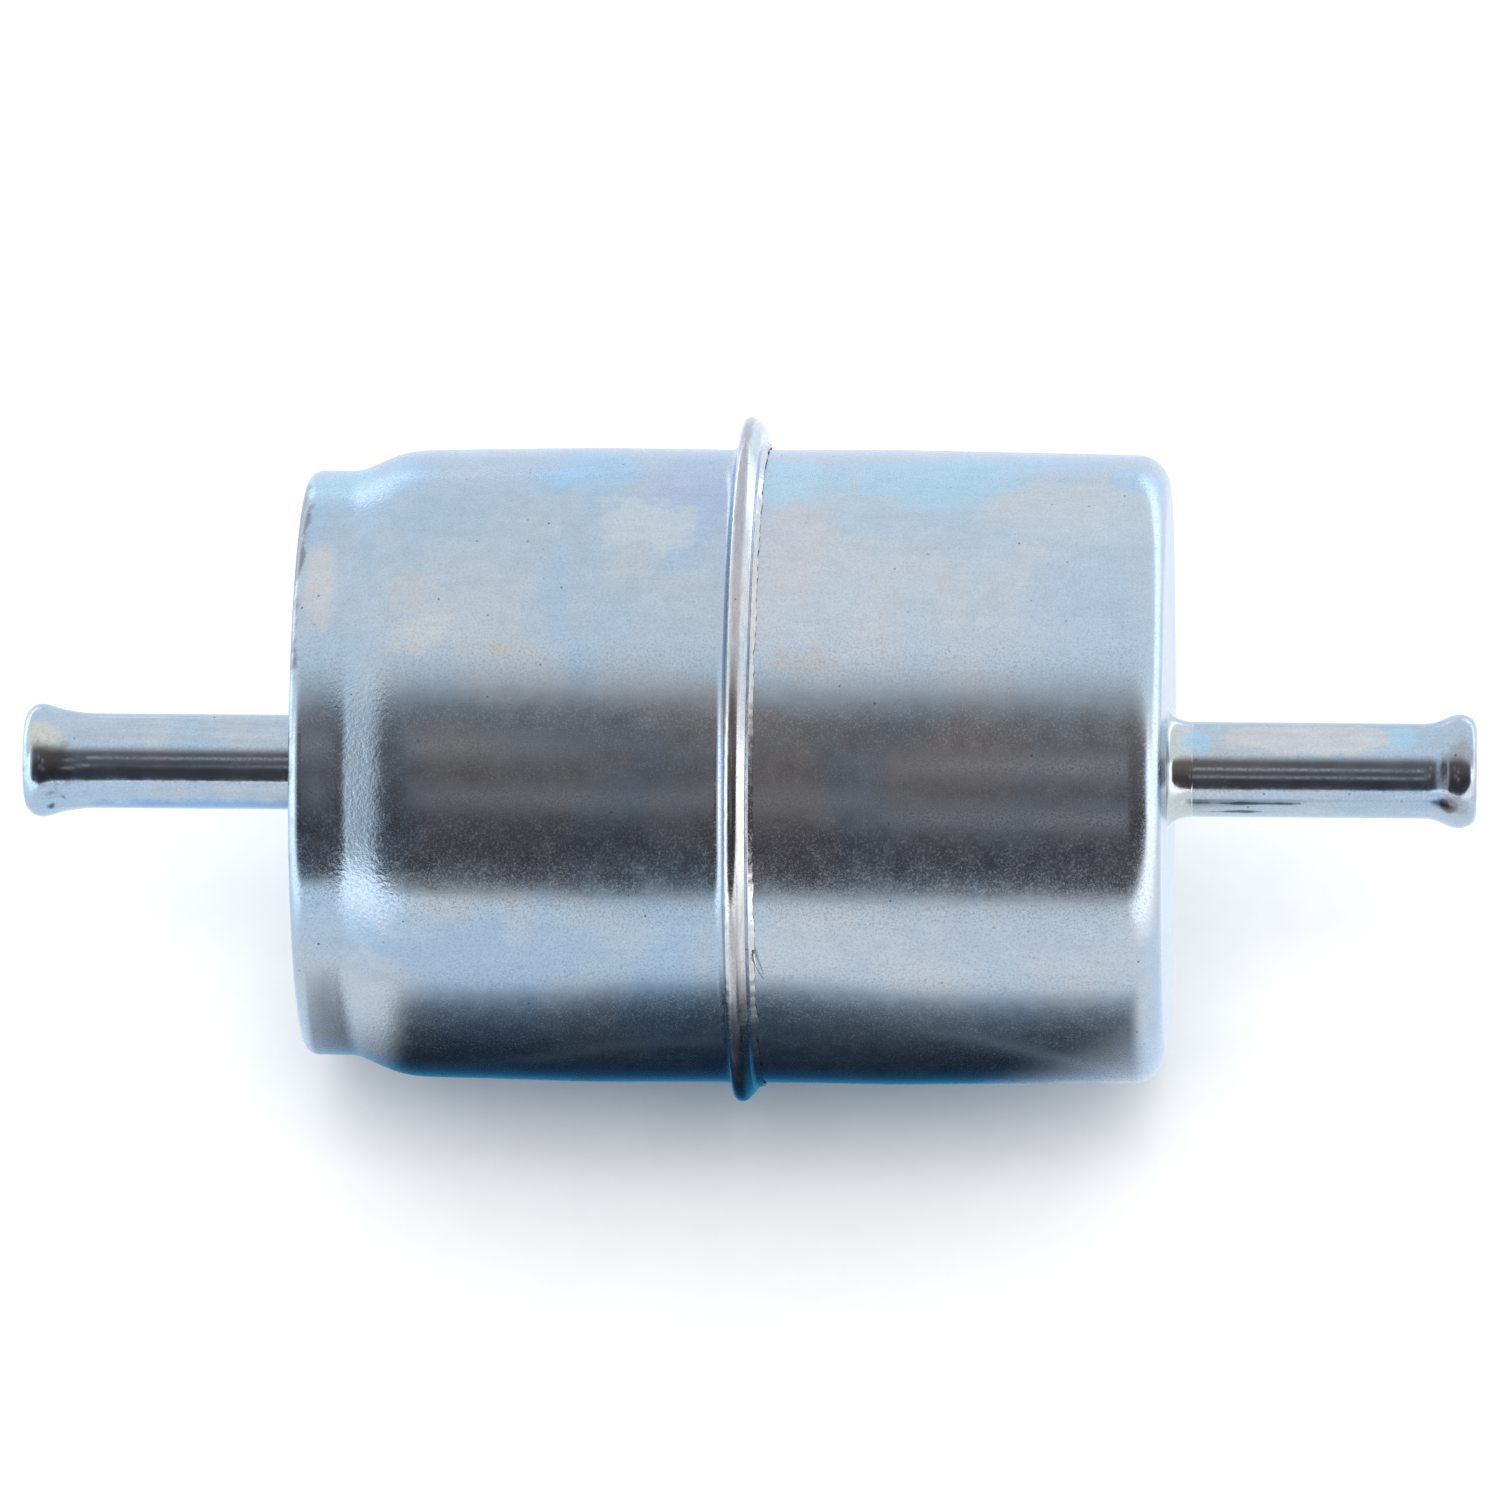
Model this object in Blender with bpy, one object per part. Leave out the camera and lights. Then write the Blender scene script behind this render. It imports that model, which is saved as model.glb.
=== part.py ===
"""Sealed in-line fuel filter for a small engine: a two-piece drawn steel can with a hose spigot at each end.

The can's two cups are joined by a rolled seam. A pleated paper element stands inside on a nitrile gasket,
and a conical spring holds it there. Fuel comes in at +X, passes through the paper from outside to inside,
and leaves at -X.

Units are metres. The can's axis is X, the origin lies on it half way along the overall length, and +Z is up.
Places along the axis are measured from the middle plane of the rolled seam.
"""

import math

import bmesh
import bpy
from mathutils import Matrix, Vector

MM = 0.001

# Fits between pieces
FIT_GAP = 0.3 * MM  # pieces that touch
LEAF_GAP = 0.12 * MM  # leaves of the rolled seam, and brazed faces
CLIP_GAP = 0.15 * MM  # paper inside its clip

# Lengths along the axis, each way from the seam's middle plane
OUTLET_END = 48.15 * MM
OUTLET_FACE = 29.25 * MM
INLET_FACE = 28.15 * MM
INLET_END = 48.65 * MM

# Can
SHEET = 0.5 * MM
CAN_RADIUS = 21.15 * MM  # outside, at the widest place of both cups
WIDEST_PLACE = 10.0 * MM  # from the seam plane
SEAM_DROP = 0.08 * MM  # how much less the radius is beside the seam
SHOULDER_DROP = 0.28 * MM  # and at the top of the outlet cup's shoulder
MOUTH_DROP = 0.28 * MM  # and at the inlet cup's corner
NECK_DROP = 1.66 * MM  # and on the outlet cup's neck
NECK_LENGTH = 3.5 * MM
SHOULDER_ANGLE = math.radians(24)
NECK_BEND = 2.5 * MM
SHOULDER_BEND = 7.0 * MM
SWELL_BEND = 60.0 * MM
OUTLET_CORNER = 1.0 * MM
INLET_CORNER = 2.2 * MM

# Rolled seam
BEAD_HEIGHT = 1.65 * MM  # above the can's widest radius
ROOT_BEND = 0.4 * MM
LIP_BEND = 0.5 * MM
LIP_ANGLE = math.radians(20)
LIP_GAP = 0.18 * MM

# Spigots
TUBE_RADIUS = 3.175 * MM  # for 1/4 inch hose
TUBE_WALL = 0.8 * MM
HOSE_BEAD_HEIGHT = 0.62 * MM
HOSE_BEAD_NOSE = 0.8 * MM
MOUTH_EDGE = 0.3 * MM
OUTLET_TAPER = (1.3 * MM, 3.5 * MM)  # start and end of the hose bead's back, from the free end
INLET_TAPER = (1.6 * MM, 2.8 * MM)
TAPER_BEND = 1.5 * MM
FLANGE_WIDTH = 1.4 * MM
FLANGE_SHEET = 0.6 * MM
OUTLET_BRAZE_LEG = 0.8 * MM
INLET_BRAZE_LEG = 1.7 * MM
BRAZE_EDGE = 0.12 * MM
DISH = 0.05 * MM  # how far the can's end is set in at the spigot's hole

# Element
CAP_SHEET = 0.4 * MM
CAP_BEND = 0.5 * MM
RIM_HEIGHT = 4.0 * MM
COLLAR_HEIGHT = 2.0 * MM
BOSS_HEIGHT = 1.6 * MM
GASKET_THICKNESS = 1.2 * MM
GASKET_WIDTH = 5.0 * MM
POTTING_DEPTH = 1.2 * MM
CENTRE_TUBE_RADIUS = 7.2 * MM
CENTRE_TUBE_WALL = 0.5 * MM
TUBE_HOLE_RADIUS = 1.6 * MM
TUBE_HOLE_PITCH = 7.5 * MM
TUBE_HOLES_ROUND = 6
PAPER = 0.5 * MM
PLEATS = 32
PLEAT_TIP_BEND = 0.45 * MM
CLIP_SHEET = 0.3 * MM
CLIP_DEPTH = 3.0 * MM

# Spring, as it is when the can is closed
SPRING_LENGTH = 11.0 * MM
SPRING_WIRE = 1.0 * MM
SPRING_TURNS = 4.5
SPRING_END_TURNS = 1.0
END_TURN_PITCH = 1.15  # in wire thicknesses

# Fineness of the round surfaces
ARC_STEP = math.radians(30)
CAN_SIDES = 36
TUBE_SIDES = 20
CAP_SIDES = 24
HOLE_SIDES = 10
COIL_POINTS = 16
FOLD_STEPS = 3
SHARP_ANGLE = math.radians(35)

# Places that several pieces share
TUBE_BORE = TUBE_RADIUS - TUBE_WALL
SPIGOT_HOLE = TUBE_RADIUS + FIT_GAP
FLANGE_RADIUS = TUBE_RADIUS + FLANGE_WIDTH
# The flat end of each cup starts outside the braze.
FLAT_START = TUBE_RADIUS + max(OUTLET_BRAZE_LEG, INLET_BRAZE_LEG) + FIT_GAP
SEAM_RADIUS = CAN_RADIUS - SEAM_DROP
NECK_RADIUS = CAN_RADIUS - NECK_DROP
BEAD_RADIUS = CAN_RADIUS + BEAD_HEIGHT
BEAD_HALF = 1.5 * SHEET + LEAF_GAP
CREST_CENTRE = BEAD_RADIUS - BEAD_HALF
FLANGE_TOP = CREST_CENTRE - 2 * LEAF_GAP
SEAM_BEND = min(ROOT_BEND, FLANGE_TOP - SEAM_RADIUS)

CAP_RADIUS = NECK_RADIUS - SHEET - FIT_GAP
GASKET_SEAT = -OUTLET_FACE + SHEET + FIT_GAP
OUTLET_CAP_FACE = GASKET_SEAT + GASKET_THICKNESS + FIT_GAP
SPRING_SEAT = INLET_FACE - SHEET - FIT_GAP
INLET_CAP_FACE = SPRING_SEAT - SPRING_LENGTH - FIT_GAP
POTTING_OFFSET = CAP_SHEET + FIT_GAP  # cap's outer face to the potting
PAPER_OFFSET = POTTING_OFFSET + POTTING_DEPTH + FIT_GAP  # cap's outer face to the paper's edge
PAPER_START = OUTLET_CAP_FACE + PAPER_OFFSET
PAPER_LENGTH = INLET_CAP_FACE - PAPER_OFFSET - PAPER_START
RIM_BORE = CAP_RADIUS - CAP_SHEET
BOSS_RADIUS = CENTRE_TUBE_RADIUS + FIT_GAP + CAP_SHEET
PLEAT_TIP = RIM_BORE - FIT_GAP - CLIP_SHEET - CLIP_GAP - PAPER / 2
PLEAT_ROOT = CENTRE_TUBE_RADIUS + FIT_GAP + PAPER / 2


def material(name, colour, roughness, metallic):
    """A Principled material with one colour, as linear red, green and blue."""
    made = bpy.data.materials.new(name)
    made.use_nodes = True
    shader = made.node_tree.nodes["Principled BSDF"]
    shader.inputs["Base Color"].default_value = (*colour, 1.0)
    shader.inputs["Roughness"].default_value = roughness
    shader.inputs["Metallic"].default_value = metallic
    made.diffuse_color = (*colour, 1.0)
    return made


def place(data, name, finish, x=0.0, turned_round=False):
    """Puts a mesh or curve on the axis at x, turned end for end where its outside faces -X."""
    data.materials.append(finish)
    piece = bpy.data.objects.new(name, data)
    bpy.context.collection.objects.link(piece)
    piece.parent = bpy.data.objects["filter_axis"]
    piece.location.x = x
    if turned_round:
        piece.rotation_euler.z = math.pi
    return piece


def finish_mesh(bm, name):
    """Closes a bmesh into a mesh with its faces out, smooth but for its real edges."""
    bmesh.ops.recalc_face_normals(bm, faces=bm.faces)
    mesh = bpy.data.meshes.new(name)
    bm.to_mesh(mesh)
    bm.free()
    mesh.shade_smooth()
    mesh.set_sharp_from_angle(angle=SHARP_ANGLE)
    return mesh


def round_corner(before, corner, after, radius):
    """Points and left-hand normals along the arc that rounds a corner between two straight runs."""
    into = (corner - before).normalized()
    out = (after - corner).normalized()
    turn = math.atan2(into.x * out.y - into.y * out.x, into.dot(out))
    side = math.copysign(1.0, turn)
    normal = Vector((-into.y, into.x))
    centre = corner - into * radius * math.tan(abs(turn) / 2) + normal * radius * side
    steps = max(1, math.ceil(abs(turn) / ARC_STEP))
    normals = [Matrix.Rotation(turn * k / steps, 2) @ normal for k in range(steps + 1)]
    return [(centre - n * radius * side, n) for n in normals]


def bent_path(corners):
    """Points and left-hand normals along an open path of (x, r, corner radius), its inner corners rounded."""
    points = [Vector(c[:2]) for c in corners]
    first = (points[1] - points[0]).normalized()
    last = (points[-1] - points[-2]).normalized()
    path = [(points[0], Vector((-first.y, first.x)))]
    for k in range(1, len(corners) - 1):
        path += round_corner(points[k - 1], points[k], points[k + 1], corners[k][2])
    path.append((points[-1], Vector((-last.y, last.x))))
    return [p for k, p in enumerate(path) if k == 0 or (p[0] - path[k - 1][0]).length > 1e-6]


def sheet_section(corners, thickness):
    """A bent sheet's closed section: the path is its outside, and the sheet lies on the path's right."""
    path = bent_path(corners)
    return [p for p, n in path] + [p - n * thickness for p, n in reversed(path)]


def solid_section(corners):
    """A closed section from (x, r, corner radius), where a radius of 0 keeps the corner sharp."""
    points = [Vector(c[:2]) for c in corners]
    section = []
    for k, (x, r, radius) in enumerate(corners):
        if radius:
            after = points[(k + 1) % len(points)]
            section += [p for p, n in round_corner(points[k - 1], points[k], after, radius)]
        else:
            section.append(points[k])
    return [p for k, p in enumerate(section) if (p - section[k - 1]).length > 1e-6]


def turned(section, name, sides):
    """The mesh of a section of (x, r) points turned once about the X axis."""
    bm = bmesh.new()
    ring = [bm.verts.new((p.x, 0.0, p.y)) for p in section]
    edges = [bm.edges.new((a, b)) for a, b in zip(ring, ring[1:] + ring[:1])]
    bmesh.ops.spin(
        bm, geom=edges, cent=(0, 0, 0), axis=(1, 0, 0), angle=2 * math.pi, steps=sides, use_merge=True
    )
    bmesh.ops.remove_doubles(bm, verts=bm.verts, dist=1e-7)
    return finish_mesh(bm, name)


def outlet_shell(finish):
    """The outlet cup: end, neck, shoulder and wall, with its flange rolled over the inlet cup's flange."""
    shoulder_radius = CAN_RADIUS - SHOULDER_DROP
    shoulder_start = NECK_LENGTH - OUTLET_FACE
    shoulder_end = shoulder_start + (shoulder_radius - NECK_RADIUS) / math.tan(SHOULDER_ANGLE)
    lip_radius = SEAM_RADIUS + LIP_GAP + SHEET * math.sin(LIP_ANGLE)
    lip_start = CREST_CENTRE - LIP_BEND * math.tan(LIP_ANGLE / 2)
    lip_flare = (lip_start - lip_radius) * math.tan(LIP_ANGLE)
    outside = [
        (-OUTLET_FACE + DISH, SPIGOT_HOLE, 0),
        (-OUTLET_FACE, FLAT_START, 0),
        (-OUTLET_FACE, NECK_RADIUS, OUTLET_CORNER),
        (shoulder_start, NECK_RADIUS, NECK_BEND),
        (shoulder_end, shoulder_radius, SHOULDER_BEND),
        (-WIDEST_PLACE, CAN_RADIUS, SWELL_BEND),
        (-BEAD_HALF, SEAM_RADIUS, SEAM_BEND),
        (-BEAD_HALF, BEAD_RADIUS, BEAD_HALF),
        (BEAD_HALF, BEAD_RADIUS, BEAD_HALF),
        (BEAD_HALF, lip_start, LIP_BEND),
        (BEAD_HALF + lip_flare, lip_radius, 0),
    ]
    place(turned(sheet_section(outside, SHEET), "outlet_shell", CAN_SIDES), "outlet_shell", finish)


def inlet_shell(finish):
    """The inlet cup: flat flange inside the seam, wall, and an end with a large corner."""
    outside = [
        (SHEET / 2, FLANGE_TOP, 0),
        (SHEET / 2, SEAM_RADIUS, SEAM_BEND),
        (WIDEST_PLACE, CAN_RADIUS, SWELL_BEND),
        (INLET_FACE, CAN_RADIUS - MOUTH_DROP, INLET_CORNER),
        (INLET_FACE, FLAT_START, 0),
        (INLET_FACE - DISH, SPIGOT_HOLE, 0),
    ]
    place(turned(sheet_section(outside, SHEET), "inlet_shell", CAN_SIDES), "inlet_shell", finish)


def seam_sealant(finish):
    """The ring of compound in the seam's crest, over the inlet cup's flange."""
    half = BEAD_HALF - SHEET - LEAF_GAP
    section = solid_section(
        [
            (-half, CREST_CENTRE - LEAF_GAP, 0),
            (-half, CREST_CENTRE + half, half),
            (half, CREST_CENTRE + half, half),
            (half, CREST_CENTRE - LEAF_GAP, 0),
        ]
    )
    place(turned(section, "seam_sealant", CAN_SIDES), "seam_sealant", finish)


def spigot(name, length, taper, finish, face, turned_round):
    """A spigot with its free end at +X: a flange inside the can's end, a tube, and a rolled hose bead."""
    flange_face = -SHEET - FIT_GAP
    bead_radius = TUBE_RADIUS + HOSE_BEAD_HEIGHT
    section = solid_section(
        [
            (flange_face - FLANGE_SHEET, TUBE_BORE, MOUTH_EDGE),
            (flange_face - FLANGE_SHEET, FLANGE_RADIUS, 0),
            (flange_face, FLANGE_RADIUS, 0),
            (flange_face, TUBE_RADIUS, 0),
            (length - taper[1], TUBE_RADIUS, TAPER_BEND),
            (length - taper[0], bead_radius, TAPER_BEND),
            (length, bead_radius, HOSE_BEAD_NOSE),
            (length, TUBE_BORE, MOUTH_EDGE),
        ]
    )
    place(turned(section, name, TUBE_SIDES), name, finish, face, turned_round)


def braze(name, leg, finish, face, turned_round):
    """The brazed fillet in the corner between a spigot's tube and the can's end."""
    wall = LEAF_GAP
    tube = TUBE_RADIUS + LEAF_GAP
    hollow = solid_section(
        [
            (wall, tube, 0),
            (wall + leg, tube, 0),
            (wall + leg, tube + BRAZE_EDGE, 0),
            (wall + BRAZE_EDGE, tube + BRAZE_EDGE, leg - BRAZE_EDGE),
            (wall + BRAZE_EDGE, tube + leg, 0),
            (wall, tube + leg, 0),
        ]
    )
    place(turned(hollow, name, TUBE_SIDES), name, finish, face, turned_round)


def outlet_end_cap(finish):
    """The open cap: a rim round the potting, and a collar inside the centre tube round the outlet hole."""
    collar = CENTRE_TUBE_RADIUS - CENTRE_TUBE_WALL - FIT_GAP - CAP_SHEET
    outside = [
        (-RIM_HEIGHT, CAP_RADIUS, 0),
        (0, CAP_RADIUS, CAP_BEND + CAP_SHEET),
        (0, collar, CAP_BEND + CAP_SHEET),
        (-COLLAR_HEIGHT, collar, 0),
    ]
    mesh = turned(sheet_section(outside, CAP_SHEET), "outlet_end_cap", CAP_SIDES)
    place(mesh, "outlet_end_cap", finish, OUTLET_CAP_FACE, turned_round=True)


def inlet_end_cap(finish):
    """The closed cap: a rim round the potting, and a boss between the centre tube and the spring."""
    outside = [
        (-RIM_HEIGHT, CAP_RADIUS, 0),
        (0, CAP_RADIUS, CAP_BEND + CAP_SHEET),
        (0, BOSS_RADIUS, CAP_BEND),
        (BOSS_HEIGHT, BOSS_RADIUS, CAP_BEND + CAP_SHEET),
        (BOSS_HEIGHT, 0, 0),
    ]
    mesh = turned(sheet_section(outside, CAP_SHEET), "inlet_end_cap", CAP_SIDES)
    place(mesh, "inlet_end_cap", finish, INLET_CAP_FACE)


def flat_ring(name, start, thickness, bore, radius, finish):
    """A plain ring of rectangular section."""
    section = solid_section(
        [(0, bore, 0), (0, radius, 0), (thickness, radius, 0), (thickness, bore, 0)]
    )
    return place(turned(section, name, CAP_SIDES), name, finish, start)


def pottings(finish):
    """The two discs of plastisol between the paper's edges and the caps."""
    bore = CENTRE_TUBE_RADIUS + FIT_GAP
    radius = RIM_BORE - FIT_GAP
    inlet_start = INLET_CAP_FACE - POTTING_OFFSET - POTTING_DEPTH
    flat_ring("outlet_potting", OUTLET_CAP_FACE + POTTING_OFFSET, POTTING_DEPTH, bore, radius, finish)
    flat_ring("inlet_potting", inlet_start, POTTING_DEPTH, bore, radius, finish)


def centre_tube(finish):
    """The perforated tube inside the paper, from the outlet cap to the hollow of the inlet cap's boss."""
    start = OUTLET_CAP_FACE + POTTING_OFFSET
    length = INLET_CAP_FACE + BOSS_HEIGHT - POTTING_OFFSET - start
    bore = CENTRE_TUBE_RADIUS - CENTRE_TUBE_WALL
    tube = flat_ring("centre_tube", start, length, bore, CENTRE_TUBE_RADIUS, finish)
    tube_holes = bmesh.new()
    rings = math.floor(PAPER_LENGTH / TUBE_HOLE_PITCH)
    first = (length - (rings - 1) * TUBE_HOLE_PITCH) / 2
    for ring in range(rings):
        for hole in range(TUBE_HOLES_ROUND):
            angle = 2 * math.pi * (hole + ring % 2 / 2) / TUBE_HOLES_ROUND
            lift = Matrix.Translation((first + ring * TUBE_HOLE_PITCH, 0, CENTRE_TUBE_RADIUS))
            bmesh.ops.create_cone(
                tube_holes,
                cap_ends=True,
                segments=HOLE_SIDES,
                radius1=TUBE_HOLE_RADIUS,
                radius2=TUBE_HOLE_RADIUS,
                depth=6 * CENTRE_TUBE_WALL,
                matrix=Matrix.Rotation(angle, 4, "X") @ lift,
            )
    cutter = place(finish_mesh(tube_holes, "centre_tube_holes"), "centre_tube_holes", finish, start)
    cutter.hide_render = True
    cutter.display_type = "WIRE"
    cut = tube.modifiers.new("holes", "BOOLEAN")
    cut.operation = "DIFFERENCE"
    cut.solver = "EXACT"
    cut.object = cutter


def extruded(rows, name, length):
    """A closed band of wall pairs (outer, inner), each (y, z), drawn along X into a solid."""
    bm = bmesh.new()
    ends = []
    for x in (0, length):
        ends.append([[bm.verts.new((x, *p)) for p in pair] for pair in rows])
    near, far = ends
    for k in range(len(rows)):
        for side in (0, 1):
            bm.faces.new((near[k - 1][side], near[k][side], far[k][side], far[k - 1][side]))
        for end in ends:
            bm.faces.new((end[k - 1][0], end[k][0], end[k][1], end[k - 1][1]))
    return finish_mesh(bm, name)


def half_turn(centre, facing, radius, hollow):
    """Wall pairs round one fold of the paper: facing points out of it, and hollow folds open outwards."""
    pairs = []
    for k in range(FOLD_STEPS + 1):
        angle = facing + math.pi * (k / FOLD_STEPS - 0.5) * (-1 if hollow else 1)
        away = Vector((math.cos(angle), math.sin(angle)))
        outer, inner = (-PAPER / 2, PAPER / 2) if hollow else (PAPER / 2, -PAPER / 2)
        pairs.append((centre + away * (radius + outer), centre + away * (radius + inner)))
    return pairs


def filter_paper(finish):
    """The pleated star: each pleat goes out to a tight fold and back to a fold against the centre tube."""
    root_bend = 2 * math.pi * PLEAT_ROOT / PLEATS / 4
    rows = []
    for pleat in range(PLEATS):
        tip = math.pi / 2 + 2 * math.pi * pleat / PLEATS
        root = tip + math.pi / PLEATS
        tip_way = Vector((math.cos(tip), math.sin(tip)))
        root_way = Vector((math.cos(root), math.sin(root)))
        rows += half_turn(tip_way * (PLEAT_TIP - PLEAT_TIP_BEND), tip, PLEAT_TIP_BEND, False)
        rows += half_turn(root_way * (PLEAT_ROOT + root_bend), root + math.pi, root_bend, True)
    place(extruded(rows, "filter_paper", PAPER_LENGTH), "filter_paper", finish, PAPER_START)


def paper_seam_clip(finish):
    """The folded strip over the pleat at the top, where the paper's two ends meet."""
    inside = PLEAT_TIP_BEND + PAPER / 2 + CLIP_GAP
    outside = inside + CLIP_SHEET
    crown = PLEAT_TIP - PLEAT_TIP_BEND
    section = [(outside, crown - CLIP_DEPTH)]
    section += [
        (outside * math.cos(a), crown + outside * math.sin(a))
        for a in [math.radians(30 * k) for k in range(7)]
    ]
    section.append((-outside, crown - CLIP_DEPTH))
    section.append((-inside, crown - CLIP_DEPTH))
    section += [
        (-inside * math.cos(a), crown + inside * math.sin(a))
        for a in [math.radians(30 * k) for k in range(7)]
    ]
    section.append((inside, crown - CLIP_DEPTH))
    bm = bmesh.new()
    end = bm.faces.new([bm.verts.new((0, y, z)) for y, z in section])
    drawn = bmesh.ops.extrude_face_region(bm, geom=[end], use_keep_orig=True)
    moved = [g for g in drawn["geom"] if isinstance(g, bmesh.types.BMVert)]
    bmesh.ops.translate(bm, verts=moved, vec=(PAPER_LENGTH, 0, 0))
    place(finish_mesh(bm, "paper_seam_clip"), "paper_seam_clip", finish, PAPER_START)


def element_spring(finish):
    """The conical spring: its small end round the inlet spigot's flange, its large end round the boss."""
    small = FLANGE_RADIUS + FIT_GAP + SPRING_WIRE / 2
    large = BOSS_RADIUS + FIT_GAP + SPRING_WIRE / 2
    end_rise = END_TURN_PITCH * SPRING_WIRE * SPRING_END_TURNS
    rise = SPRING_LENGTH - SPRING_WIRE
    points = []
    count = round(SPRING_TURNS * COIL_POINTS)
    for k in range(count + 1):
        turn = SPRING_TURNS * k / count
        free = (turn - SPRING_END_TURNS) / (SPRING_TURNS - 2 * SPRING_END_TURNS)
        free = min(max(free, 0.0), 1.0)
        lead = min(turn, SPRING_END_TURNS) + max(turn - SPRING_TURNS + SPRING_END_TURNS, 0.0)
        x = lead / SPRING_END_TURNS * end_rise + free * (rise - 2 * end_rise)
        radius = small + (large - small) * free
        angle = 2 * math.pi * turn
        points.append((-SPRING_WIRE / 2 - x, radius * math.cos(angle), radius * math.sin(angle)))
    curve = bpy.data.curves.new("element_spring", "CURVE")
    curve.dimensions = "3D"
    curve.bevel_depth = SPRING_WIRE / 2
    curve.bevel_resolution = 2
    curve.use_fill_caps = True
    spline = curve.splines.new("POLY")
    spline.points.add(len(points) - 1)
    for point, at in zip(spline.points, points):
        point.co = (*at, 1.0)
    place(curve, "element_spring", finish, SPRING_SEAT)


def clear_scene():
    """Removes whatever the scene holds, sets metres, and adds the empty that carries every piece."""
    for old in list(bpy.data.objects):
        bpy.data.objects.remove(old, do_unlink=True)
    bpy.context.scene.unit_settings.system = "METRIC"
    axis = bpy.data.objects.new("filter_axis", None)
    axis.empty_display_size = OUTLET_END
    axis.location.x = (OUTLET_END - INLET_END) / 2
    bpy.context.collection.objects.link(axis)


def build():
    """Makes every piece, each with its own material."""
    outlet_length = OUTLET_END - OUTLET_FACE
    inlet_length = INLET_END - INLET_FACE
    clear_scene()
    outlet_shell(material("zinc_plated_cup_outlet", (0.47, 0.54, 0.61), 0.32, 1.0))
    inlet_shell(material("zinc_plated_cup_inlet", (0.49, 0.55, 0.61), 0.32, 1.0))
    seam_sealant(material("sealing_compound", (0.25, 0.12, 0.08), 0.6, 0.0))
    outlet_steel = material("zinc_plated_tube_outlet", (0.5, 0.56, 0.62), 0.25, 1.0)
    inlet_steel = material("zinc_plated_tube_inlet", (0.5, 0.56, 0.62), 0.25, 1.0)
    spigot("outlet_spigot", outlet_length, OUTLET_TAPER, outlet_steel, -OUTLET_FACE, True)
    spigot("inlet_spigot", inlet_length, INLET_TAPER, inlet_steel, INLET_FACE, False)
    outlet_braze = material("plated_braze_outlet", (0.52, 0.52, 0.4), 0.35, 1.0)
    inlet_braze = material("plated_braze_inlet", (0.52, 0.52, 0.4), 0.35, 1.0)
    braze("outlet_braze", OUTLET_BRAZE_LEG, outlet_braze, -OUTLET_FACE, True)
    braze("inlet_braze", INLET_BRAZE_LEG, inlet_braze, INLET_FACE, False)
    outlet_end_cap(material("tinned_cap_outlet", (0.56, 0.55, 0.5), 0.35, 1.0))
    inlet_end_cap(material("tinned_cap_inlet", (0.56, 0.55, 0.5), 0.35, 1.0))
    pottings(material("plastisol", (0.55, 0.2, 0.04), 0.5, 0.0))
    centre_tube(material("perforated_steel", (0.5, 0.5, 0.5), 0.4, 1.0))
    filter_paper(material("resin_treated_paper", (0.76, 0.6, 0.32), 0.85, 0.0))
    paper_seam_clip(material("clip_steel", (0.55, 0.56, 0.58), 0.35, 1.0))
    gasket_bore = CAP_RADIUS - GASKET_WIDTH
    nitrile = material("nitrile_rubber", (0.02, 0.02, 0.02), 0.6, 0.0)
    flat_ring("seat_gasket", GASKET_SEAT, GASKET_THICKNESS, gasket_bore, CAP_RADIUS, nitrile)
    element_spring(material("spring_steel", (0.36, 0.36, 0.38), 0.35, 1.0))


build()
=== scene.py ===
"""The looks of a zinc-plated in-line fuel filter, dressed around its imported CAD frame."""

import logging
import math
from collections.abc import Callable, Sequence
from dataclasses import dataclass, field
from enum import Enum

import bmesh
import bpy
from mathutils import Matrix, Vector, noise


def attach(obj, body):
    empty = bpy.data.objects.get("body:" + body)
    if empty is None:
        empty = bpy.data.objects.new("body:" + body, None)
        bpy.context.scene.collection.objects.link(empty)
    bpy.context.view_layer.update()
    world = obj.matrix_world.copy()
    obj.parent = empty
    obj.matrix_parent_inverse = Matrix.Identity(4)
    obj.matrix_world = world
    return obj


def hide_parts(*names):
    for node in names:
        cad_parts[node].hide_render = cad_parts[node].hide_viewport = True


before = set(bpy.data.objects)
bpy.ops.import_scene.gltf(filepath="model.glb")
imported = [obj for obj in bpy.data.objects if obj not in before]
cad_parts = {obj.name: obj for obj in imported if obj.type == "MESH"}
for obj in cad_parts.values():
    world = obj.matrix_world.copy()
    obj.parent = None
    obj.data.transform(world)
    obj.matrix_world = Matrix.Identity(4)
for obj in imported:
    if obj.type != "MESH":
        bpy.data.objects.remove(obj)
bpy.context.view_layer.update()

MM = 0.001
SEAM_X = -0.25  # the seam's middle plane, in mm from the frame's origin
SHEET = 0.5
BODY = "root"
log = logging.getLogger("fuel_filter")

Point = tuple[float, float]
Corner = tuple[float, float, float]
Socket = bpy.types.NodeSocket
SMOOTH = {"interpolation_type": "SMOOTHSTEP"}
COLOUR_MIX = {"out": 2, "data_type": "RGBA"}


class End(Enum):
    """The two ends of the filter, each with the way it points along X."""

    OUTLET = -1
    INLET = 1

    @property
    def label(self) -> str:
        """The word the CAD nodes use for this end."""
        return self.name.lower()


class Wear(Enum):
    """How a plated surface has been worked since it was pressed."""

    DRAWN = "drawn"
    ROLLED = "rolled"
    HANDLED = "handled"


# ---------------------------------------------------------------- colour and nodes


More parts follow.
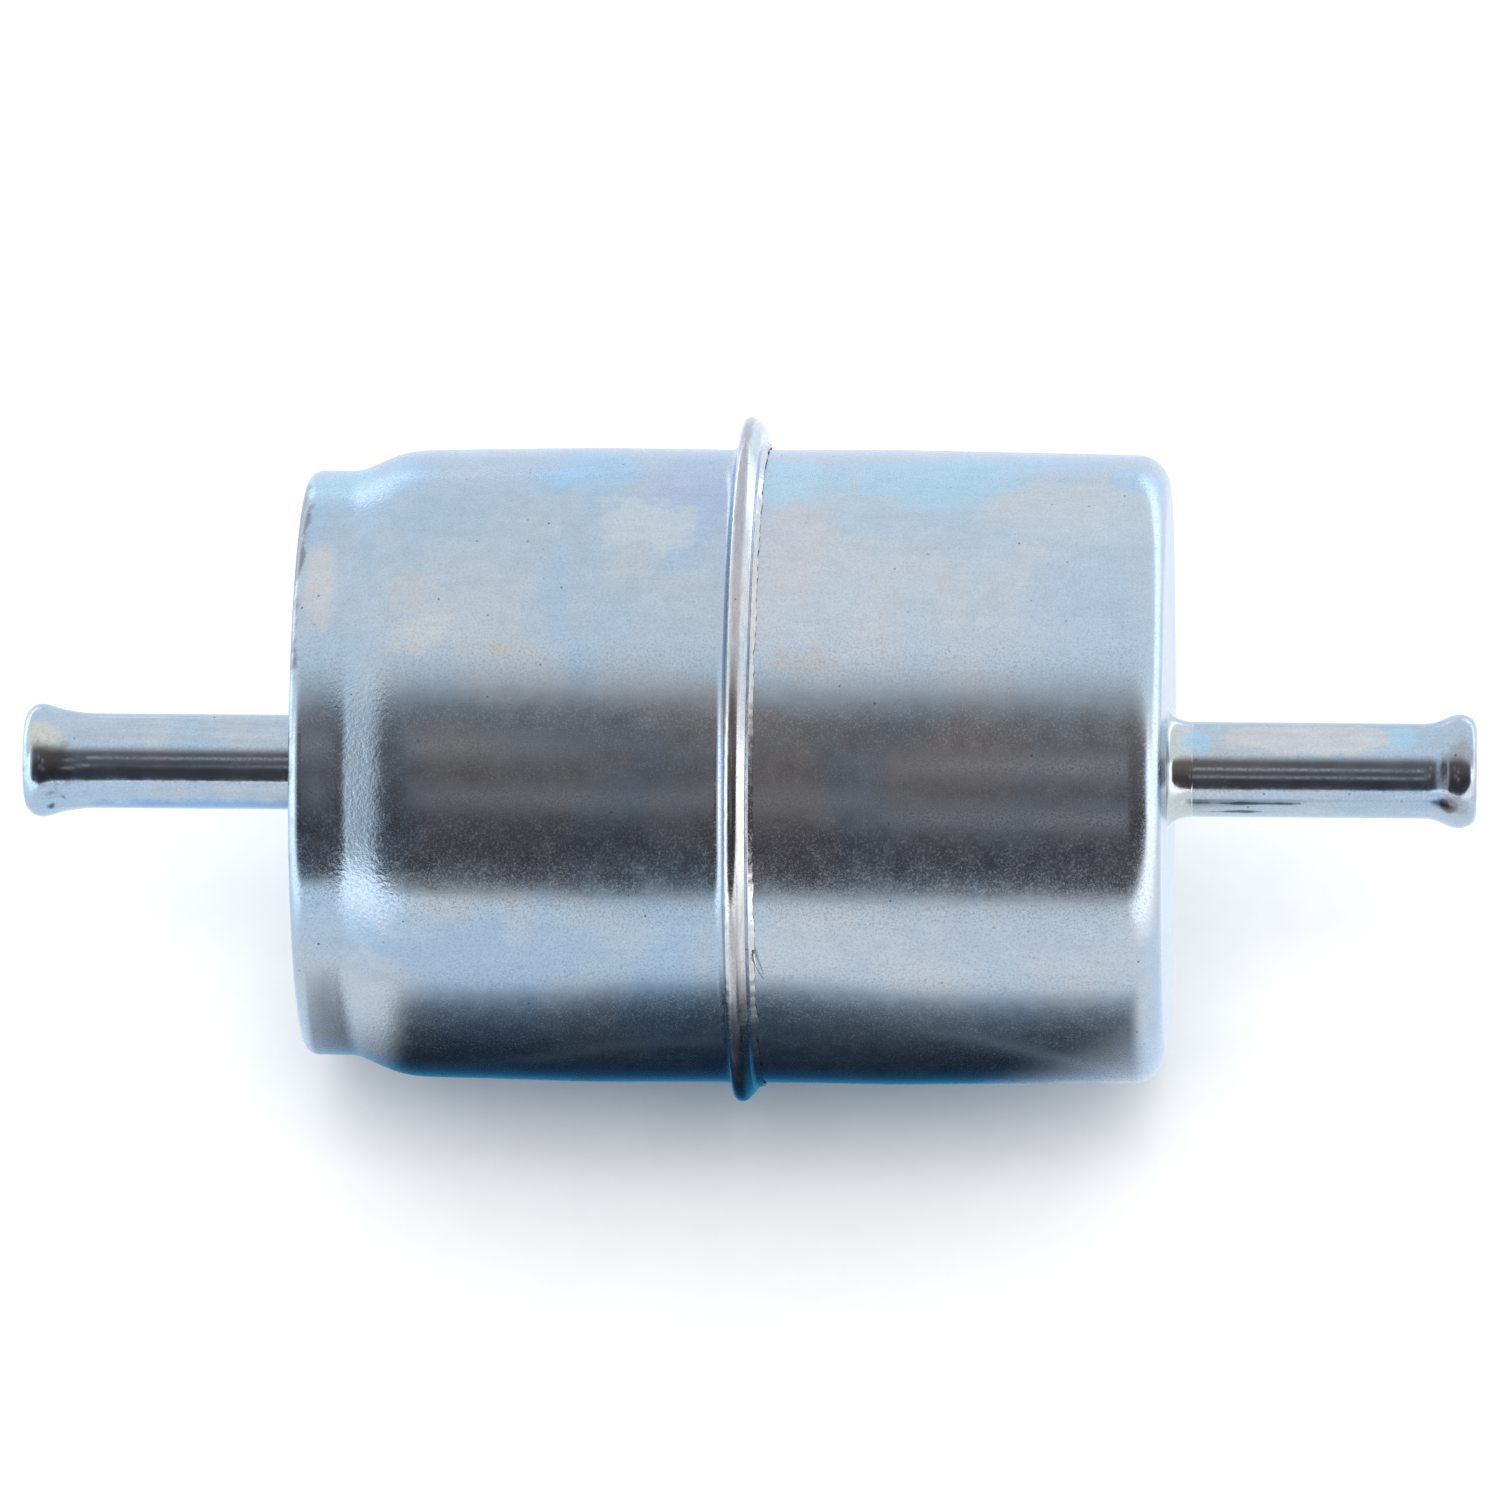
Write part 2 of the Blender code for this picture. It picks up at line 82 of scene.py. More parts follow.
def linear(hex_code: str) -> tuple[float, float, float, float]:
    """Turns an sRGB hex colour into a linear one.

    Args:
        hex_code: Six hex digits after a hash.

    Returns:
        Red, green, blue and an alpha of 1.
    """
    parts = [int(hex_code[k : k + 2], 16) / 255 for k in (1, 3, 5)]
    red, green, blue = (c / 12.92 if c <= 0.04045 else ((c + 0.055) / 1.055) ** 2.4 for c in parts)
    return (red, green, blue, 1.0)


@dataclass
class Graph:
    """A node tree under construction."""

    tree: bpy.types.NodeTree

    def add(
        self, kind: str, inputs: dict | None = None, out: int | str = 0, **settings: object
    ) -> Socket | None:
        """Adds one node.

        Args:
            kind: The node's type name, after "ShaderNode".
            inputs: A value or a socket to link, for each input's name or number.
            out: The output to hand back.
            settings: The node's own settings.

        Returns:
            The chosen output socket, or None for a node without outputs.
        """
        made = self.tree.nodes.new("ShaderNode" + kind)
        for key, value in settings.items():
            setattr(made, key, value)
        for key, value in (inputs or {}).items():
            if isinstance(value, Socket):
                self.tree.links.new(value, made.inputs[key])
            else:
                made.inputs[key].default_value = value
        return made.outputs[out] if len(made.outputs) else None


def empty_graph(owner: bpy.types.Material | bpy.types.World) -> Graph:
    """Clears the node tree of a material or a world.

    Args:
        owner: What the tree belongs to.

    Returns:
        The tree as an empty graph.
    """
    owner.use_nodes = True
    owner.node_tree.nodes.clear()
    return Graph(owner.node_tree)


def fill_ramp(ramp: bpy.types.Node, table: Sequence[tuple[float, Sequence[float]]]) -> None:
    """Puts the colours of a table in a colour ramp.

    Args:
        ramp: The ramp's node.
        table: Places from 0 to 1, rising, and their linear colours.
    """
    elements = ramp.color_ramp.elements
    while len(elements) < len(table):
        elements.new(0.5)
    for element, (place, colour) in zip(elements, table):
        element.position = place
        element.color = tuple(colour[:3]) + (1.0,)


def faded(g: Graph, square: Socket) -> Socket:
    """A soft fall from 1 towards 0.

    Args:
        g: The graph.
        square: The squared distance from the middle.

    Returns:
        The height there.
    """
    minus = g.add("Math", {0: square, 1: -1.0}, operation="MULTIPLY")
    return g.add("Math", {0: minus}, operation="EXPONENT")


def bell(g: Graph, value: Socket, middle: float, width: float) -> Socket:
    """A soft bump: 1 in the middle, falling away on both sides.

    Args:
        g: The graph.
        value: Where along the bump.
        middle: Where it is highest.
        width: How far from there it has fallen to about a third.

    Returns:
        The bump's height.
    """
    off = g.add("Math", {0: value, 1: middle}, operation="SUBTRACT")
    off = g.add("Math", {0: off, 1: 1 / width}, operation="MULTIPLY")
    return faded(g, g.add("Math", {0: off, 1: off}, operation="MULTIPLY"))


# ---------------------------------------------------------------- finishes


@dataclass(frozen=True)
class Stain:
    """A soft-edged area of another tint on a turned surface.

    It is placed by x in mm and by the angle round the axis in degrees: 0 is the front, 90 the top.
    """

    x: float
    angle: float
    half_x: float
    half_angle: float
    colour: str
    strength: float = 0.6
    soft: float = 0.35
    raggedness: float = 0.5


@dataclass(frozen=True)
class ZincPlate:
    """Bright zinc electroplate with a blue passivate film, on pressed mild steel.

    The eye gets a satin, slightly sparkling metal: silver-blue, with pale blue, lavender and cream
    areas where the film is thicker or thinner, small dark pits, and greyer metal where tools or hands
    have rubbed.
    """

    name: str
    colour: str = "#9FAEBB"
    film: tuple[str, str, str] = ("#96ACC0", "#A0AEBC", "#A9B0B8")
    roughness: float = 0.2
    grain_mm: float = 0.15
    grain_height_um: float = 1.2
    sparkle: float = 0.16
    stretched: Point | None = None
    peel_mm: float = 0.3
    peel_height: float = 22.0
    pit_spacing_mm: float = 1.15
    pit_radius_mm: float = 0.11
    wear: Wear = Wear.DRAWN
    stains: tuple[Stain, ...] = ()

    def material(self) -> bpy.types.Material:
        """Builds the material.

        Returns:
            The finished material.
        """
        made = bpy.data.materials.new(self.name)
        g = empty_graph(made)
        at = g.add("TexCoord", out="Object")
        mm = g.add("VectorMath", {0: at, "Scale": 1000.0}, operation="SCALE")
        x, angle = self.around(g, mm)
        clouds = g.add("TexNoise", {"Vector": mm, "Scale": 1 / 9.0, "Detail": 3.0, "Distortion": 0.6})
        mottle = g.add("TexNoise", {"Vector": mm, "Scale": 1 / 1.6, "Detail": 4.0, "Roughness": 0.6})
        grain = g.add("TexNoise", {"Vector": mm, "Scale": 1 / self.grain_mm, "Detail": 2.0})
        streaks = self.streaks(g, mm, angle)
        pits = self.pits(g, mm)
        tint = self.tint(g, g.add("CombineXYZ", {0: x, 1: angle}), clouds, mottle)
        shade = self.shade(g, mottle, grain, streaks)
        tint = g.add("Mix", {0: 1.0, 6: tint, 7: shade}, blend_type="MULTIPLY", **COLOUR_MIX)
        tint = g.add("Mix", {0: pits, 6: tint, 7: linear("#4A4748")}, **COLOUR_MIX)
        low, high = self.roughness - 0.035, self.roughness + 0.045
        rough = g.add("MapRange", {0: mottle, 1: 0.3, 2: 0.7, 3: low, 4: high})
        rough = g.add("Math", {0: pits, 1: 0.25, 2: rough}, operation="MULTIPLY_ADD")
        dull = g.add("MapRange", {0: grain, 1: 0.48, 2: 0.7})
        rough = g.add("Math", {0: dull, 1: self.sparkle, 2: rough}, operation="MULTIPLY_ADD")
        height = g.add("Math", {0: streaks, 1: self.streak_height, 2: grain}, operation="MULTIPLY_ADD")
        if self.stretched:
            height = self.orange_peel(g, mm, x, height)
        height = g.add("Math", {0: pits, 1: -2.0, 2: height}, operation="MULTIPLY_ADD")
        relief = {"Strength": 1.0, "Distance": self.grain_height_um * 1e-6, "Height": height}
        values = {
            "Base Color": tint,
            "Metallic": 1.0,
            "Roughness": rough,
            "Normal": g.add("Bump", relief),
            "Specular Tint": linear("#EEF5FF"),
        }
        g.add("OutputMaterial", {0: g.add("BsdfPrincipled", values)})
        return made

    def tint(self, g: Graph, place: Socket, clouds: Socket, mottle: Socket) -> Socket:
        """The metal's colour under its film, with the stains laid over it.

        Args:
            g: The material's graph.
            place: x in mm and the angle in degrees.
            clouds: The noise of the film's thickness.
            mottle: The mottling's noise.

        Returns:
            The colour.
        """
        film = g.add("ValToRGB", {0: clouds})
        low, span = 0.36, 0.28
        places = (low + span * k / (len(self.film) - 1) for k in range(len(self.film)))
        fill_ramp(film.node, [(at, linear(code)) for at, code in zip(places, self.film)])
        tint = g.add("Mix", {0: 0.8, 6: linear(self.colour), 7: film}, **COLOUR_MIX)
        ragged = g.add("Math", {0: mottle, 1: clouds}, operation="ADD")
        ragged = g.add("Math", {0: ragged, 1: -1.0}, operation="ADD")
        for stain in self.stains:
            tint = self.stained(g, tint, place, ragged, stain)
        return tint

    def orange_peel(self, g: Graph, mm: Socket, x: Socket, height: Socket) -> Socket:
        """Roughens the zone that the drawing stretched most, where the steel's own grain shows.

        Args:
            g: The material's graph.
            mm: The point in millimetres.
            x: Its place along the axis.
            height: The surface's height without it.

        Returns:
            The height with it.
        """
        middle, half = self.stretched
        off = g.add("Math", {0: x, 1: middle}, operation="SUBTRACT")
        off = g.add("Math", {0: off}, operation="ABSOLUTE")
        zone = g.add("MapRange", {0: off, 1: half, 2: half * 0.4, 4: 1.0}, **SMOOTH)
        size = 1 / self.peel_mm
        lumps = g.add("TexNoise", {"Vector": mm, "Scale": size, "Detail": 2.0, "Roughness": 0.6})
        lumps = g.add("Math", {0: lumps, 1: zone}, operation="MULTIPLY")
        return g.add("Math", {0: lumps, 1: self.peel_height, 2: height}, operation="MULTIPLY_ADD")

    @property
    def streak_height(self) -> float:
        """How deep the streaks are beside the grain."""
        return {Wear.DRAWN: 0.08, Wear.ROLLED: 0.7, Wear.HANDLED: 0.15}[self.wear]

    def around(self, g: Graph, mm: Socket) -> tuple[Socket, Socket]:
        """The place on a turned surface.

        Args:
            g: The material's graph.
            mm: The point in millimetres.

        Returns:
            Sockets for x in mm and the angle round the axis in degrees.
        """
        split = g.add("SeparateXYZ", {0: mm}).node
        front = g.add("Math", {0: split.outputs[1], 1: -1.0}, operation="MULTIPLY")
        turn = g.add("Math", {0: split.outputs[2], 1: front}, operation="ARCTAN2")
        degrees = g.add("Math", {0: turn, 1: 180 / math.pi}, operation="MULTIPLY")
        return split.outputs[0], degrees

    def streaks(self, g: Graph, mm: Socket, angle: Socket) -> Socket:
        """Marks left by the tools: along the axis on a drawn cup, round it on a rolled seam.

        Args:
            g: The material's graph.
            mm: The point in millimetres.
            angle: The angle round the axis in degrees.

        Returns:
            A socket from 0 to 1.
        """
        if self.wear is Wear.ROLLED:
            round_it = g.add("Math", {0: angle, 1: 0.035}, operation="MULTIPLY")
            spread = g.add("CombineXYZ", {0: g.add("SeparateXYZ", {0: mm}), 1: round_it})
            width_mm, rough = 0.13, 0.7
        else:
            spread = g.add("VectorMath", {0: mm, 1: (0.12, 1.0, 1.0)}, operation="MULTIPLY")
            width_mm, rough = 0.6, 0.6
        size = 1 / width_mm
        return g.add("TexNoise", {"Vector": spread, "Scale": size, "Detail": 3.0, "Roughness": rough})

    def stained(self, g: Graph, tint: Socket, place: Socket, ragged: Socket, stain: Stain) -> Socket:
        """Lays one stain over a colour.

        Args:
            g: The material's graph.
            tint: The colour under it.
            place: x in mm and the angle in degrees.
            ragged: A noise about 0 that makes the outline uneven.
            stain: The stain.

        Returns:
            The new colour.
        """
        off = g.add("VectorMath", {0: place, 1: (stain.x, stain.angle, 0)}, operation="SUBTRACT")
        share = (1 / stain.half_x, 1 / stain.half_angle, 0)
        off = g.add("VectorMath", {0: off, 1: share}, operation="MULTIPLY")
        reach = g.add("VectorMath", {0: off}, out="Value", operation="LENGTH")
        reach = g.add("Math", {0: ragged, 1: 3.0 * stain.raggedness, 2: reach}, operation="MULTIPLY_ADD")
        edge = {0: reach, 1: 1 - stain.soft, 2: 1 + stain.soft, 3: stain.strength, 4: 0.0}
        amount = g.add("MapRange", edge, **SMOOTH)
        return g.add("Mix", {0: amount, 6: tint, 7: linear(stain.colour)}, **COLOUR_MIX)

    def shade(self, g: Graph, mottle: Socket, grain: Socket, streaks: Socket) -> Socket:
        """The light and dark of mottling, grain and tool marks, about 1.

        Args:
            g: The material's graph.
            mottle: The mottling's noise.
            grain: The grain's noise.
            streaks: The tool marks' noise.

        Returns:
            A value to multiply the colour by.
        """
        marks = {Wear.DRAWN: 0.03, Wear.ROLLED: 0.16, Wear.HANDLED: 0.06}[self.wear]
        low = g.add("MapRange", {0: mottle, 1: 0.25, 2: 0.75, 3: 0.94, 4: 1.06})
        fine = g.add("MapRange", {0: grain, 1: 0.25, 2: 0.75, 3: 1.08, 4: 0.92})
        lines = g.add("MapRange", {0: streaks, 1: 0.25, 2: 0.75, 3: 1 - marks, 4: 1 + marks})
        both = g.add("Math", {0: low, 1: fine}, operation="MULTIPLY")
        return g.add("Math", {0: both, 1: lines}, operation="MULTIPLY")

    def pits(self, g: Graph, mm: Socket) -> Socket:
        """Scattered dark pits.

        Args:
            g: The material's graph.
            mm: The point in millimetres.

        Returns:
            A mask that is 1 in a pit.
        """
        cells = g.add("TexVoronoi", {"Vector": mm, "Scale": 1 / self.pit_spacing_mm}).node
        edge = self.pit_radius_mm / self.pit_spacing_mm
        spot = {0: cells.outputs["Distance"], 1: edge * 0.5, 2: edge, 3: 1.0, 4: 0.0}
        chosen = g.add("SeparateXYZ", {0: cells.outputs["Color"]})
        chosen = g.add("MapRange", {0: chosen, 1: 0.55, 2: 0.95, 3: 0.0, 4: 0.8})
        return g.add("Math", {0: g.add("MapRange", spot), 1: chosen}, operation="MULTIPLY")


@dataclass(frozen=True)
class Bulk:
    """A plain bulk finish: one colour broken up by a grain of a real size, with a matching bump."""

    name: str
    colour: str
    other: str
    metallic: float
    roughness: float
    grain_mm: float
    grain_height_um: float
    stretch: tuple[float, float, float] = (1.0, 1.0, 1.0)
    ior: float = 1.5

    def material(self) -> bpy.types.Material:
        """Builds the material.

        Returns:
            The finished material.
        """
        made = bpy.data.materials.new(self.name)
        g = empty_graph(made)
        at = g.add("TexCoord", out="Object")
        mm = g.add("VectorMath", {0: at, 1: tuple(1000 * s for s in self.stretch)}, operation="MULTIPLY")
        grain = g.add("TexNoise", {"Vector": mm, "Scale": 1 / self.grain_mm, "Detail": 4.0})
        clouds = g.add("TexNoise", {"Vector": mm, "Scale": 0.12 / self.grain_mm, "Detail": 2.0})
        both = g.add("Math", {0: grain, 1: clouds}, operation="ADD")
        share = g.add("MapRange", {0: both, 1: 0.7, 2: 1.3})
        tint = g.add("Mix", {0: share, 6: linear(self.colour), 7: linear(self.other)}, **COLOUR_MIX)
        low, high = self.roughness - 0.05, self.roughness + 0.05
        rough = g.add("MapRange", {0: grain, 1: 0.3, 2: 0.7, 3: low, 4: high})
        normal = g.add("Bump", {"Distance": self.grain_height_um * 1e-6, "Height": grain})
        values = {"Base Color": tint, "Metallic": self.metallic, "Roughness": rough, "Normal": normal}
        if self.metallic == 0.0:
            values["IOR"] = self.ior
        g.add("OutputMaterial", {0: g.add("BsdfPrincipled", values)})
        return made


# ---------------------------------------------------------------- turned meshes


def rounded(before: Vector, corner: Vector, after: Vector, radius: float, step: float) -> list[Vector]:
    """The arc that rounds a corner of a path.

    Args:
        before: The corner before it.
        corner: The corner.
        after: The corner after it.
        radius: The arc's radius.
        step: The most that one facet may turn, in radians.

    Returns:
        Points along the arc.
    """
    into = (corner - before).normalized()
    out = (after - corner).normalized()
    turn = math.atan2(into.x * out.y - into.y * out.x, into.dot(out))
    side = math.copysign(1.0, turn)
    normal = Vector((-into.y, into.x))
    centre = corner - into * radius * math.tan(abs(turn) / 2) + normal * radius * side
    count = max(2, math.ceil(abs(turn) / step))
    arc = []
    for k in range(count + 1):
        arc.append(centre - (Matrix.Rotation(turn * k / count, 2) @ normal) * radius * side)
    return arc


def path_through(corners: Sequence[Corner], step: float = math.radians(7)) -> list[Vector]:
    """An open path of (x, radius) points with its corners rounded.

    Args:
        corners: x, radius and corner radius, in mm. A corner radius of 0 keeps the corner sharp.
        step: The most that one facet may turn, in radians.

    Returns:
        The path's points.
    """
    points = [Vector(c[:2]) for c in corners]
    path = [points[0]]
    for k in range(1, len(corners) - 1):
        if corners[k][2]:
            path += rounded(points[k - 1], points[k], points[k + 1], corners[k][2], step)
        else:
            path.append(points[k])
    path.append(points[-1])
    return [p for k, p in enumerate(path) if k == 0 or (p - path[k - 1]).length > 1e-4]


def split_long(path: Sequence[Vector], longest: float) -> list[Vector]:
    """Adds points to a path's long runs.

    Args:
        path: The path.
        longest: The most that two points may be apart, in mm.

    Returns:
        The path with the added points.
    """
    out = [path[0]]
    for a, b in zip(path, path[1:]):
        count = max(1, math.ceil((b - a).length / longest))
        out += [a.lerp(b, k / count) for k in range(1, count + 1)]
    return out


def smooth_curve(points: Sequence[Point], spacing: float) -> list[Vector]:
    """A smooth curve through measured points.

    Args:
        points: x and radius, in mm.
        spacing: The distance between the curve's points, in mm.

    Returns:
        The curve's points, ends included.
    """
    given = [Vector(p) for p in points]
    padded = [given[0] * 2 - given[1]] + given + [given[-1] * 2 - given[-2]]
    curve = [given[0]]
    for a, b, c, d in zip(padded, padded[1:], padded[2:], padded[3:]):
        count = max(1, math.ceil((c - b).length / spacing))
        for k in range(1, count + 1):
            t = k / count
            square, cube = 2 * a - 5 * b + 4 * c - d, 3 * b - a - 3 * c + d
            curve.append(0.5 * (2 * b + (c - a) * t + square * t**2 + cube * t**3))
    return curve


def ramp(value: float, low: float, high: float) -> float:
    """A smooth step from 0 to 1.

    Args:
        value: Where it is read.
        low: Where it leaves 0.
        high: Where it reaches 1.

    Returns:
        The step's height.
    """
    t = min(max((value - low) / (high - low), 0.0), 1.0)
    return t * t * (3 - 2 * t)


def around_axis(angle: float) -> Vector:
    """The point of a unit circle at an angle.

    Args:
        angle: The angle in degrees.

    Returns:
        The point, with a third coordinate of 0.
    """
    return Vector((math.cos(math.radians(angle)), math.sin(math.radians(angle)), 0))


def piece_of(bm: bmesh.types.BMesh, name: str) -> bpy.types.Object:
    """Makes a mesh piece and frees its bmesh.

    Args:
        bm: The piece's mesh, in metres.
        name: The piece's name.

    Returns:
        The piece, in the scene.
    """
    mesh = bpy.data.meshes.new(name)
    bm.to_mesh(mesh)
    bm.free()
    piece = bpy.data.objects.new(name, mesh)
    bpy.context.collection.objects.link(piece)
    return piece


def turned(
    name: str,
    section: Sequence[Vector],
    sides: int,
    move: Callable[[Vector, float, float], Vector] | None = None,
    sharp: float = 40.0,
) -> bpy.types.Object:
    """Turns a closed section about the X axis.

    Args:
        name: The piece's name.
        section: (x, radius) points in mm, the last joined to the first.
        sides: How many facets go round.
        move: Says where a point goes, from its place in mm, its radius and its angle in degrees.
        sharp: Edges that turn by more than this many degrees stay sharp.

    Returns:
        The piece, in metres, with smooth faces.
    """
    bm = bmesh.new()
    rings = []
    for k in range(sides):
        turn = 2 * math.pi * k / sides
        c, s = math.cos(turn), math.sin(turn)
        ring = []
        for p in section:
            at = Vector((p.x, -p.y * c, p.y * s))
            if move:
                at = move(at, p.y, math.degrees(turn))
            ring.append(bm.verts.new(at * MM))
        rings.append(ring)
    for k in range(sides):
        a, b = rings[k - 1], rings[k]
        for i in range(len(section)):
            bm.faces.new((a[i - 1], a[i], b[i], b[i - 1]))
    bmesh.ops.recalc_face_normals(bm, faces=bm.faces)
    piece = piece_of(bm, name)
    piece.data.shade_smooth()
    piece.data.set_sharp_from_angle(angle=math.radians(sharp))
    return piece


def stand_in(piece: bpy.types.Object, slot: str, *nodes: str) -> None:
    """Fixes a piece to the filter's body, logs the slot it is meant for, and hides the CAD nodes it
    stands for.

    Args:
        piece: The piece.
        slot: The record's material slot for its finish; it is only logged.
        nodes: The CAD nodes that it stands for.
    """
    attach(piece, BODY)
    if nodes:
        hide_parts(*nodes)
    log.info("%s: %d faces, slot %s", piece.name, len(piece.data.polygons), slot)


# ---------------------------------------------------------------- the can


@dataclass
class Seam:
    """The rolled seam's lie: its bead stands further out on one side, and its plane wobbles a little."""

    offset: float = 0.45
    offset_angle: float = 139.0
    wobble: float = 0.13
    from_radius: float = 21.2
    to_radius: float = 22.2

    def moved(self, at: Vector, radius: float, angle: float) -> Vector:
        """Where a point of the seam lies.

        Args:
            at: The point on the true turned shape, in mm.
            radius: Its radius.
            angle: Its angle round the axis in degrees.

        Returns:
            The point on the real seam.
        """
        share = ramp(radius, self.from_radius, self.to_radius)
        if share == 0.0:
            return at
        lie = math.radians(self.offset_angle)
        swing = math.cos(math.radians(angle) - lie)
        shift = Vector((self.wobble * swing, -self.offset * math.cos(lie), self.offset * math.sin(lie)))
        return at + shift * share


@dataclass
class Can:
    """The two drawn cups and the rolled seam that joins them, with sizes in mm from the seam's plane."""

    seam: Seam
    outlet_face: float = -29.25
    inlet_face: float = 28.15
    radius: float = 21.15
    seam_radius: float = 21.07
    neck_radius: float = 19.49
    neck_length: float = 3.5
    shoulder_radius: float = 20.87
    shoulder_angle: float = 24.0
    mouth_radius: float = 20.87
    widest: float = 10.0
    hole: float = 3.475
    flat_start: float = 5.175
    dish: float = 0.05
    longest: float = 1.6
    sides: int = 640
    cut_edge: float = 1.05
    ragged: float = 0.14
    uneven: float = 0.02

    def outlet_cup(self) -> bpy.types.Object:
        """Builds the outlet cup: end, neck, shoulder, wall, and the flange rolled into the seam's bead.

        Returns:
            The piece.
        """
        neck_end = self.outlet_face + self.neck_length
        rise = self.shoulder_radius - self.neck_radius
        shoulder_end = neck_end + rise / math.tan(math.radians(self.shoulder_angle))
        outside = path_through(
            [
                (self.outlet_face + self.dish, self.hole, 0),
                (self.outlet_face, self.flat_start, 0),
                (self.outlet_face, self.neck_radius, 0.95),
                (neck_end, self.neck_radius, 2.2),
                (shoulder_end, self.shoulder_radius, 7.0),
                (-self.widest, self.radius, 60.0),
                (-0.44, self.seam_radius, 0.72),
                (-0.4, 22.8, 0.5),
                (0.355, 22.8, 0.6),
                (1.0, 22.13, 0.2),
                (1.13, 21.52, 0.1),
                (1.48, 21.34, 0),
            ]
        )
        inside = path_through(
            [
                (1.46, 21.2, 0),
                (0.9, 21.3, 0.1),
                (0.5, 22.2, 0.1),
                (-0.28, 22.2, 0.1),
                (-0.28, self.seam_radius - 0.5, 0.3),
                (-self.widest, self.radius - SHEET, 0),
                (shoulder_end + 0.5, self.shoulder_radius - SHEET, 0),
                (neck_end + 0.2, self.neck_radius - SHEET, 0),
                (self.outlet_face + SHEET, self.neck_radius - SHEET, 0.5),
                (self.outlet_face + SHEET, self.hole, 0),
            ],
            step=math.radians(20),
        )
        section = split_long(outside, self.longest) + inside
        section = [Vector((p.x + SEAM_X, p.y)) for p in section]
        return turned("drawn_outlet_cup", section, self.sides, self.outlet_moved)

    def outlet_moved(self, at: Vector, radius: float, angle: float) -> Vector:
        """Where a point of the outlet cup lies, with the seam's lie and its ragged cut edge.

        Args:
            at: The point on the true turned shape, in mm.
            radius: Its radius.
            angle: Its angle round the axis in degrees.

        Returns:
            The point on the real cup.
        """
        x = at.x - SEAM_X
        out = Vector((0, at.y, at.z)).normalized()
        turn = around_axis(angle) * 21
        if x > self.cut_edge and radius < 21.75:
            share = ramp(x, self.cut_edge, 1.4)
            coarse = noise.noise(turn / 2.1)
            fine = noise.noise(turn / 0.45 + Vector((0, 0, 7)))
            at = at + Vector(((self.ragged * coarse + 0.08 * fine) * share, 0, 0))
            at = at + out * (0.05 * noise.noise(turn / 0.5 + Vector((0, 0, 3))) + 0.03 * coarse) * share
        elif -0.45 < x < 0.0 and radius > 22.0:
            at = at + Vector((0.025, 0, 0)) * noise.noise(turn / 0.4)
        elif x < -1.5 and radius > 15:
            at = at + out * self.uneven * noise.noise(Vector((at.x / 14, at.y / 12, at.z / 12)))
        return self.seam.moved(at, radius, angle)

    def inlet_cup(self) -> bpy.types.Object:
        """Builds the inlet cup: flange inside the seam, wall, large corner and end.

        Returns:
            The piece.
        """
        outside = path_through(
            [
                (0.25, 21.69, 0),
                (0.25, self.seam_radius, 0.38),
                (self.widest, self.radius, 60.0),
                (self.inlet_face, self.mouth_radius, 2.2),
                (self.inlet_face, self.flat_start, 0),
                (self.inlet_face - self.dish, self.hole, 0),
            ]
        )
        inside = path_through(
            [
                (self.inlet_face - SHEET, self.hole, 0),
                (self.inlet_face - SHEET, self.mouth_radius - SHEET, 1.7),
                (self.widest, self.radius - SHEET, 0),
                (-0.25, self.seam_radius - SHEET, 0.3),
                (-0.25, 21.69, 0),
            ],
            step=math.radians(20),
        )
        section = split_long(outside, self.longest) + inside
        section = [Vector((p.x + SEAM_X, p.y)) for p in section]
        return turned("drawn_inlet_cup", section, 384, self.inlet_moved)

    def inlet_moved(self, at: Vector, radius: float, angle: float) -> Vector:
        """Where a point of the inlet cup lies, with its faint unevenness and the seam's lie.

        Args:
            at: The point on the true turned shape, in mm.
            radius: Its radius.
            angle: Its angle round the axis in degrees.

        Returns:
            The point on the real cup.
        """
        if at.x > 1.5 and radius > 15:
            out = Vector((0, at.y, at.z)).normalized()
            at = at + out * self.uneven * noise.noise(Vector((at.x / 14 + 9, at.y / 12, at.z / 12)))
        return self.seam.moved(at, radius, angle)

    def sealant(self) -> bpy.types.Object:
        """Builds the ring of compound in the seam's crest.

        Returns:
            The piece.
        """
        half, low, high = 0.25, 21.81, 22.15
        corners = [(-half, low, 0), (-half, high, 0.2), (half, high, 0.2), (half, low, 0)]
        section = path_through(corners, math.radians(20))
        section = [Vector((p.x + SEAM_X, p.y)) for p in section]
        return turned("seam_compound", section, 192, self.seam.moved)

    def burr(self) -> bpy.types.Object:
        """Builds the fine sliver of steel that curls off the seam's cut edge.

        Returns:
            The piece.
        """
        bm = bmesh.new()
        rows = []
        count = 14
        start_angle, sweep, root_x, curl = 14.5, 6.5, 1.44, 0.62
        root_radius, lifted, thick, thin = 21.42, 0.22, 0.07, 0.012
        for k in range(count + 1):
            t = k / count
            angle = math.radians(start_angle - sweep * t)
            x = SEAM_X + root_x + curl * t**1.6
            radius = root_radius - 0.1 * t + lifted * math.sin(math.pi * t)
            width = thick * (1 - t) ** 0.6 + thin
            out = Vector((0, -math.cos(angle), math.sin(angle)))
            at = Vector((x, 0, 0)) + out * radius
            side = Vector((1, 0, 0)) * width
            lift = out * width * 0.6
            rows.append([bm.verts.new((at + p) * MM) for p in (side, lift, -side, -lift)])
        for a, b in zip(rows, rows[1:]):
            for i in range(4):
                bm.faces.new((a[i - 1], a[i], b[i], b[i - 1]))
        bm.faces.new(rows[0])
        bm.faces.new(rows[-1])
        bmesh.ops.recalc_face_normals(bm, faces=bm.faces)
        piece = piece_of(bm, "seam_burr")
        piece.data.shade_smooth()
        return piece

